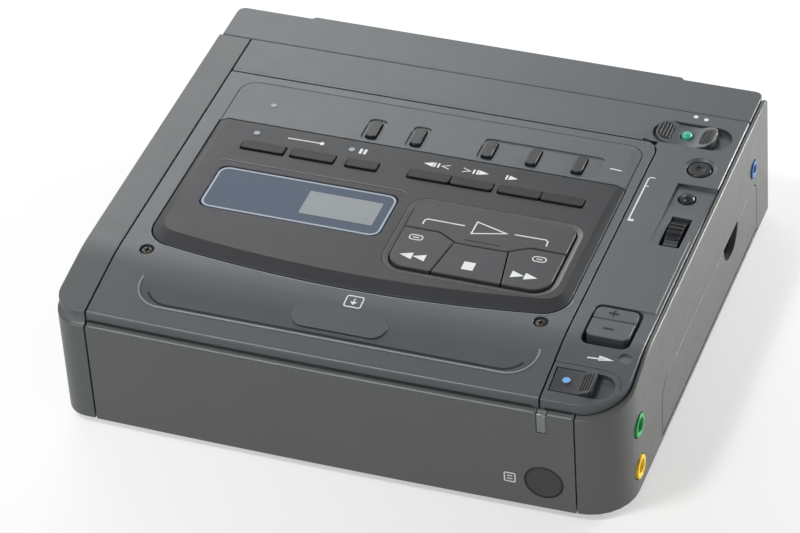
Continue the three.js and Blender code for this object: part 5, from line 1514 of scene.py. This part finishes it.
    def jack_sleeves(self) -> None:
        """Lines the three jacks with their contact sleeves."""
        face = self.jack_face
        former = Former()
        for spot in self.jack_spots:
            former.turned(Side.RIGHT, spot, ((1.55, face - 6), (1.55, face - 1.6), (1.3, face - 1.8),
                                             (1.3, face - 6)), 28, True)
        former.turned(Side.RIGHT, self.remote_spot, ((1.0, face - 6), (1.0, face - 0.8), (0.75, face - 0.5),
                                                     (0.3, face - 0.5)), 24)
        self.shop.complete(former.part(self.shop, "jack_sleeves"), "case", CAST)

    def socket_pins(self) -> None:
        """Puts pins in the video socket, blades in the digital one and contacts in the battery plate."""
        part = self.turned("pin", Side.RIGHT, ((0.35, -2.5), (0.35, 1.4), (0.2, 1.6)), 12)
        part.data.transform(Matrix.Rotation(math.pi, 4, "Z"))
        ring = circle(*self.video_spot, self.pin_ring, 4)
        self.scatter("video_pins", "case", CAST, part, [(self.socket_floor, *place) for place in ring])
        part = self.prism("blade", Side.RIGHT, rounded(-0.3, 0.3, -0.5, 0.5, 0.15, 2), -2.0, 2.2)
        across, along = self.digital_spot
        rows = [across + self.blade_pitch * (step - 1.5) for step in range(4)]
        self.scatter("digital_blades", "case", CAST, part, [(self.blade_floor, row, along) for row in rows])
        part = self.prism("contact", Side.TOP, rounded(-0.4, 0.4, -0.5, 0.7, 0.2, 3), -1.5, 1.5)
        left, along, height = self.contact_start
        self.scatter("battery_contacts", "case", CONTACT, part,
                     [(left + self.contact_pitch * step, along, height) for step in range(3)])


@dataclass
class Lid(Section):
    """The lid with its fascia, display window, screws and keys."""

    rims: tuple[Rim, ...] = (Rim((-80, -63.6, 34.0), (80, -62.2, 37.0), 0.8),)
    foot: Box = (-59.56, 50.2, -36.5, 33.35)
    foot_radii: Point = (7.0, 4.5)
    foot_bow: float = 3.7
    foot_bead: float = 0.66
    band: float = 15.6
    wall: tuple[float, float, float, float] = (-64.4, 53.0, 32.62, 33.2)
    dish: Box = (-54.66, 48.3, -56.9, -46.9)
    dish_radius: float = 6.8
    dish_grown: float = 0.34
    dish_inner: Triple = (0.97, -0.1, 1.75)
    cluster: Box = (2.14, 44.24, -30.05, -4.45)
    cluster_radii: Point = (4.5, 2.6)
    cluster_rim: float = 1.86
    cluster_foot: float = 0.45
    fascia_top: float = 39.88
    carriers: tuple[str, ...] = ("lid_cover", "control_fascia", "display_window")
    lenses: tuple[Point, ...] = ((-47.7, 23.5), (-47.7, 11.3), (-21.6, 11.3))
    screw_spots: tuple[Point, ...] = ((-57.66, -39.3), (45.7, -39.3))
    screw_radius: float = 1.5
    screw_height: float = 1.0
    window: Box = (-51.1, -3.6, -20.0, -4.1)
    screen: Box = (-25.8, -6.2, -16.6, -7.4)
    icon: Box = (-2.9, 1.4, -46.0, -42.4)

    def build(self) -> None:
        """Dresses the lid and all that it carries."""
        self.dress(LID, 0.1, "lid_cover", merge=0.1, rims=self.rims)
        self.dress(FASCIA, 0.2, "control_fascia")
        self.dress(WINDOW, 0.15, "display_window")
        self.dress(KEY, 0.2, "key_tray")
        self.dress(KEY, 0.15, "record_key_left", "record_key_right", "pause_key", "frame_back_key",
                   "frame_forward_key", "slow_key", "double_speed_key")
        self.dress(GLOSS, 0.2, "data_button", "screen_button", "effect_button", "title_button",
                   "zoom_button")
        self.dress(CAP, 0.3, "play_key", "rewind_key", "stop_key", "fast_forward_key")
        self.screws()
        self.foot_lines()
        self.dish_lines()
        self.wall_line()
        self.cluster_slope()
        self.display()
        self.symbols()
        self.transport_marks()

    def screws(self) -> None:
        """Makes the two cross-headed screws of the lid."""
        nodes = ("lid_screw_left", "lid_screw_right")
        seat = max(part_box(node)[1].z for node in nodes) / MM - self.screw_height
        part = self.screw(self.screw_radius, self.screw_height)
        made = self.scatter("lid_screws", "lid", SCREW, part, [(*spot, seat) for spot in self.screw_spots])
        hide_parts(*nodes)

    def foot_lines(self) -> None:
        """Lays a painted shade line along the rear of the raised area's foot and a bead in a painted
        highlight grey along its front.
        """
        left, right = self.foot[:2]
        # Painted shade: a dark line in the crease at the rear of the raised area's foot.
        rear = [place for place in bowed(self.foot, *self.foot_radii, self.foot_bow) if place[1] > self.band]
        line = Line([(right, self.band), *rear, (left, self.band)], 0.3)
        self.lay("raised_foot_line", PAINTED_SHADE, ("lid_cover",), [line])
        # A bead along the front of the foot, lighter than the lid as a painted highlight.
        plan = bowed(self.foot, *self.foot_radii, self.foot_bow, self.foot_bead)
        corner = len(plan) - BOW_STEPS - 1
        ahead = [place for place in plan[corner:] + plan[:corner] if place[1] < self.band]
        self.lay("raised_foot_bead", BEAD_HIGHLIGHT, ("lid_cover",), [Line(ahead, 0.26)], lift=0.08, soft=0.05)

    def wall_line(self) -> None:
        """Lays a painted shade band at the foot of the front wall, in the groove above the ledge."""
        # Painted shade: a dark band in the groove between the front wall and the ledge below it.
        start, end, low, high = self.wall
        wall = Stencil(self.shop.frame, ("lid_cover",))
        wall.front_band([start + (end - start) * step / 60 for step in range(61)], low, high)
        wall.piece(self.shop, "lid_foot_line", "lid", PAINTED_SHADE)

    def dish_lines(self) -> None:
        """Lays a bead in a painted highlight grey along the dish's front lip, and a painted shade line on
        the dish floor behind it.
        """
        left, right, front, _ = self.dish
        radius = self.dish_radius
        grown = radius + self.dish_grown
        lip = [place for centre, start in ((left + radius, 165), (right - radius, 270))
               for place in arc(centre, front + radius, grown, start, start + 105, 12)]
        # The lip's bead is lighter than the lid, as a painted highlight.
        self.lay("dish_bead", BEAD_HIGHLIGHT, ("lid_cover",), [Line(lip, 0.5)], lift=0.2, soft=0.14)
        # Painted shade: a dark line on the dish floor just behind the lip.
        share, aside, behind = self.dish_inner
        inner = [(across * share + aside, along + behind) for across, along in lip[6:-6]]
        self.lay("dish_line", PAINTED_SHADE, ("lid_cover",), [Line(inner, 0.5)], lift=0.08)

    def cluster_slope(self) -> None:
        """Slopes the fascia down to the four transport keys, in a lighter grey that paints the highlight the
        slope catches.
        """
        rings = [[Side.TOP.point(across, along, self.fascia_top - drop)
                  for across, along in bowed(self.cluster, *self.cluster_radii, 0.0, grown)]
                 for grown, drop in ((self.cluster_rim, 0.0), (self.cluster_foot, 0.44),
                                     (self.cluster_foot, 0.7), (self.cluster_rim, 0.7))]
        slope = Former().stack(rings, True).part(self.shop, "cluster_slope")
        # The slope's lighter grey is a painted highlight, the sheen the slope catches.
        self.shop.complete(slope, "lid", RIDGE_HIGHLIGHT)

    def display(self) -> None:
        """Prints the display's border, lays its screen, and lays the step above it as a line in a painted
        highlight grey.
        """
        border = Line(rounded(*self.window, 2.4), 0.55, True)
        self.lay("window_border", BORDER, ("display_window",), [border])
        self.lay("window_screen", SCREEN, ("display_window",), [rounded(*self.screen, 0.3, 2)], lift=0.05)
        # Painted highlight: a lighter line along the step above the window.
        ridge = Line([(-52.7, -2.2), (-51.9, -1.2), (-3.4, -1.2), (-1.9, -2.2)], 0.3)
        self.lay("window_ridge", RIDGE_HIGHLIGHT, self.carriers, [ridge], lift=0.08)
        self.lay("lamp_lenses", LENS, self.carriers, [dot(*spot, 0.85) for spot in self.lenses], lift=0.12)

    def symbols(self) -> None:
        """Prints the lines, bars and triangles beside the lid's keys."""
        marks = [Line([(-39.2, 11.5), (-30.4, 11.6)], 0.35), dot(-29.9, 11.6, 0.62)]
        marks += [rounded(left, left + 0.7, 10.3, 12.3, 0.1, 2) for left in (-19.5, -18.3)]
        for turn, start in ((1, -2.0), (-1, 15.5)):
            marks.append([(start, 11.0), (start + 2.6 * turn, 10.1), (start + 2.6 * turn, 11.9)][::turn])
            for left in (start + turn * 3.0 - 0.25, start + turn * 4.0 - 0.25):
                marks.append(rounded(left, left + 0.5, 10.1, 11.9, 0.08, 2))
            marks.append(Line([(start + 7.0 * turn, 11.8), (start + 5.0 * turn, 11.0),
                               (start + 7.0 * turn, 10.2)], 0.25))
        marks += [rounded(20.0, 20.5, 10.1, 11.9, 0.08, 2), [(20.9, 10.1), (23.2, 11.0), (20.9, 11.9)],
                  Line([(44.3, 21.5), (48.0, 21.3)], 0.35)]
        left, right, front, back = self.icon
        middle = (left + right) / 2
        marks += [Line(rounded(*self.icon, 0.5, 3), 0.3, True),
                  Line([(middle, back - 0.8), (middle, front + 1.6)], 0.3),
                  [(middle - 0.9, front + 1.7), (middle, front + 0.7), (middle + 0.9, front + 1.7)]]
        self.lay("lid_symbols", INK, self.carriers, marks)

    def transport_marks(self) -> None:
        """Prints the marks on the four transport keys, each on its own key."""
        play = (Line([(19.2, -8.6), (19.1, -13.4), (27.6, -11.1)], 0.35, True),
                Line([(6.2, -13.0), (6.2, -11.4), (6.8, -10.8), (16.6, -10.9)], 0.35),
                Line([(29.7, -10.9), (37.8, -10.8), (38.5, -11.4), (38.6, -13.2)], 0.35))
        self.lay("play_marks", INK, ("play_key",), play)
        self.lay("play_bump", CAP, ("play_key",), [rounded(18.0, 27.8, -16.15, -15.45, 0.33, 4)], lift=0.09)
        for name, node, left, turn, oval in (("rewind_marks", "rewind_key", 4.6, -1, 6.4),
                                             ("forward_marks", "fast_forward_key", 33.7, 1, 38.6)):
            ends = [(start, start + 3.3)[::turn] for start in (left, left + 3.4)]
            marks = [[(base, -24.4), (tip, -25.7), (base, -27.0)] for base, tip in ends]
            marks.append(Line(rounded(oval - 1.7, oval + 1.7, -19.4, -17.6, 0.85, 5), 0.28, True))
            marks.append(Line([(oval - 0.8, -18.5), (oval + 0.8, -18.5)], 0.3))
            self.lay(name, INK, (node,), marks)
        stop = [(21.1, -24.2), (24.1, -24.2), (24.1, -27.2), (21.1, -27.2)]
        self.lay("stop_mark", INK, ("stop_key",), [stop])


@dataclass
class Strip(Section):
    """The controls on the strip at the right of the lid."""

    bar_radius: float = 0.2
    power_row: float = 41.65
    power_bars: tuple[float, ...] = (51.9, 52.7, 53.5, 54.3, 62.7, 63.5, 64.3, 65.1)
    eject_row: float = -56.0
    eject_bars: tuple[float, ...] = (61.6, 62.3, 63.0, 63.7)
    eject_dot: float = 57.53
    slope: float = 9.0

    def build(self) -> None:
        """Dresses the controls, ribs their grips and prints the marks beside them."""
        self.dress(SLIDE, 0.2, "power_slider")
        self.dress(LOCK, 0.15, "power_lock_button")
        self.dress(GLOSS, 0.12, "link_button")
        self.dress(GLOSS, 0.3, "menu_button")
        self.dress(KEY, 0.2, "dial_frame")
        self.dress(KEY, 0.1, "dial_wheel")
        self.dress(SLIDE, 0.25, "volume_rocker")
        self.dress(CAP, 0.15, "eject_slider")
        pads = [rounded(left, right, 38.3, 45.0, 1.8) for left, right in ((51.3, 55.0), (62.1, 65.7))]
        self.lay("power_pads", KEY, ("power_slider",), pads, lift=0.02)
        self.grip("power_ribs", "power_slider", self.power_bars, self.power_row, 5.6, 0.0)
        self.grip("eject_ribs", "eject_slider", self.eject_bars, self.eject_row, 5.4, self.slope)
        self.marks()

    def grip(self, name: str, node: str, places: Sequence[float], row: float, length: float, lean: float
             ) -> None:
        """Ribs a slider's ramp with thin round bars.

        Args:
            name: The ribs' name.
            node: The slider.
            places: Where the bars lie along the ramp.
            row: The middle of the bars.
            length: Their length.
            lean: How far the ramp leans to the front, in degrees.
        """
        ground = Stencil(self.shop.frame, (node,))
        spots = [(place, row, ground.depth(place, row)) for place in places]
        ground.solid.free()
        half = length / 2
        thick = self.bar_radius
        thin = thick * 0.6
        profile = ((thin, -half), (thick, 0.15 - half), (thick, half - 0.15), (thin, half))
        part = self.turned("bar", Side.FRONT, profile, 12)
        part.data.transform(Matrix.Rotation(math.radians(lean), 4, "X"))
        self.scatter(name, f"{node}_body", KEY, part, spots)

    def marks(self) -> None:
        """Prints the dots, the bracket, the arrow, the eject dot and the volume's plus and minus."""
        self.lay("strip_marks", INK, ("top_panel",), (
            dot(58.6, 49.4, 0.6), dot(61.5, 48.9, 0.6),
            Line([(56.0, 22.1), (54.9, 22.1), (54.4, 21.5), (54.4, 4.5)], 0.35),
            rounded(54.2, 55.7, 3.9, 4.7, 0.1, 2), Line([(54.4, 18.4), (55.4, 18.4)], 0.3),
            Line([(60.2, -47.9), (64.4, -47.6)], 0.4),
            [(63.0, -48.3), (66.8, -47.5), (64.0, -46.9), (62.9, -46.7)]))
        self.lay("eject_dot", DOT, ("eject_slider",), [dot(self.eject_dot, self.eject_row, 1.0)], lift=0.08)
        signs = ([(60.9, -32.4), (63.5, -32.4)], [(62.2, -33.6), (62.2, -31.2)],
                 [(61.2, -38.2), (63.8, -38.2)])
        self.lay("volume_signs", KEY, ("volume_rocker",), [Line(sign, 0.42) for sign in signs], lift=0.12)


@dataclass
class Deck(Section):
    """The tape drive inside the case."""

    board_top: float = 7.2
    chassis_top: float = 11.2
    guide_spots: tuple[Point, ...] = ((-27.0, 14.0), (-22.5, 24.0), (11.0, 24.0), (16.0, 13.0))
    chassis_screws: tuple[Point, ...] = ((-50.0, -36.0), (38.0, -36.0), (-50.0, 36.0), (38.0, 36.0))
    chip_spots: tuple[Point, ...] = ((-52.0, -50.0), (-30.0, -50.5), (10.0, -50.5), (34.0, -50.0))

    def build(self) -> None:
        """Dresses the board, the chassis and what turns on it, and fits them out."""
        self.dress(BOARD, 0.1, "main_board")
        self.dress(SHEET, 0.2, "mechanism_chassis")
        self.dress(CAST, 0.3, "drum_base")
        self.dress(CAST, 0.25, "head_drum")
        self.dress(WHITE, 0.2, "supply_reel", "takeup_reel")
        self.dress(SHEET, 0.2, "capstan")
        self.dress(SOCKET, 0.2, "pinch_arm")
        self.dress(SHEET, 0.2, "cassette_holder")
        profile = ((1.6, -0.2), (1.6, 0.8), (0.9, 1.0), (0.9, 9.0), (1.7, 9.1), (1.7, 9.8), (1.2, 10.0))
        guide = self.turned("guide", Side.TOP, profile, 24)
        screw = self.screw(1.7, 1.1)
        chip = self.prism("chip", Side.TOP, rounded(-4.0, 4.0, -2.6, 2.6, 0.2, 2), -0.1, 1.3)
        for name, finish, part, places, height in (
                ("tape_guides", CAST, guide, self.guide_spots, self.chassis_top),
                ("chassis_screws", SCREW, screw, self.chassis_screws, self.chassis_top - 0.1),
                ("board_chips", SOCKET, chip, self.chip_spots, self.board_top)):
            self.scatter(name, "case", finish, part, [(*place, height) for place in places])


def main() -> None:
    """Builds the studio and the deck, and notes how many pieces were made."""
    logging.basicConfig(level=logging.INFO, format="%(message)s")
    for leftover in list(bpy.data.objects):
        bpy.data.objects.remove(leftover)
    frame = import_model()
    Studio().build()
    shop = Workshop(frame)
    repeater = Repeater()
    for section in (Case, Lid, Strip, Deck):
        section(shop, repeater).build()
    LOG.info("%d pieces made", len(shop.made))


if __name__ == "__main__":
    main()
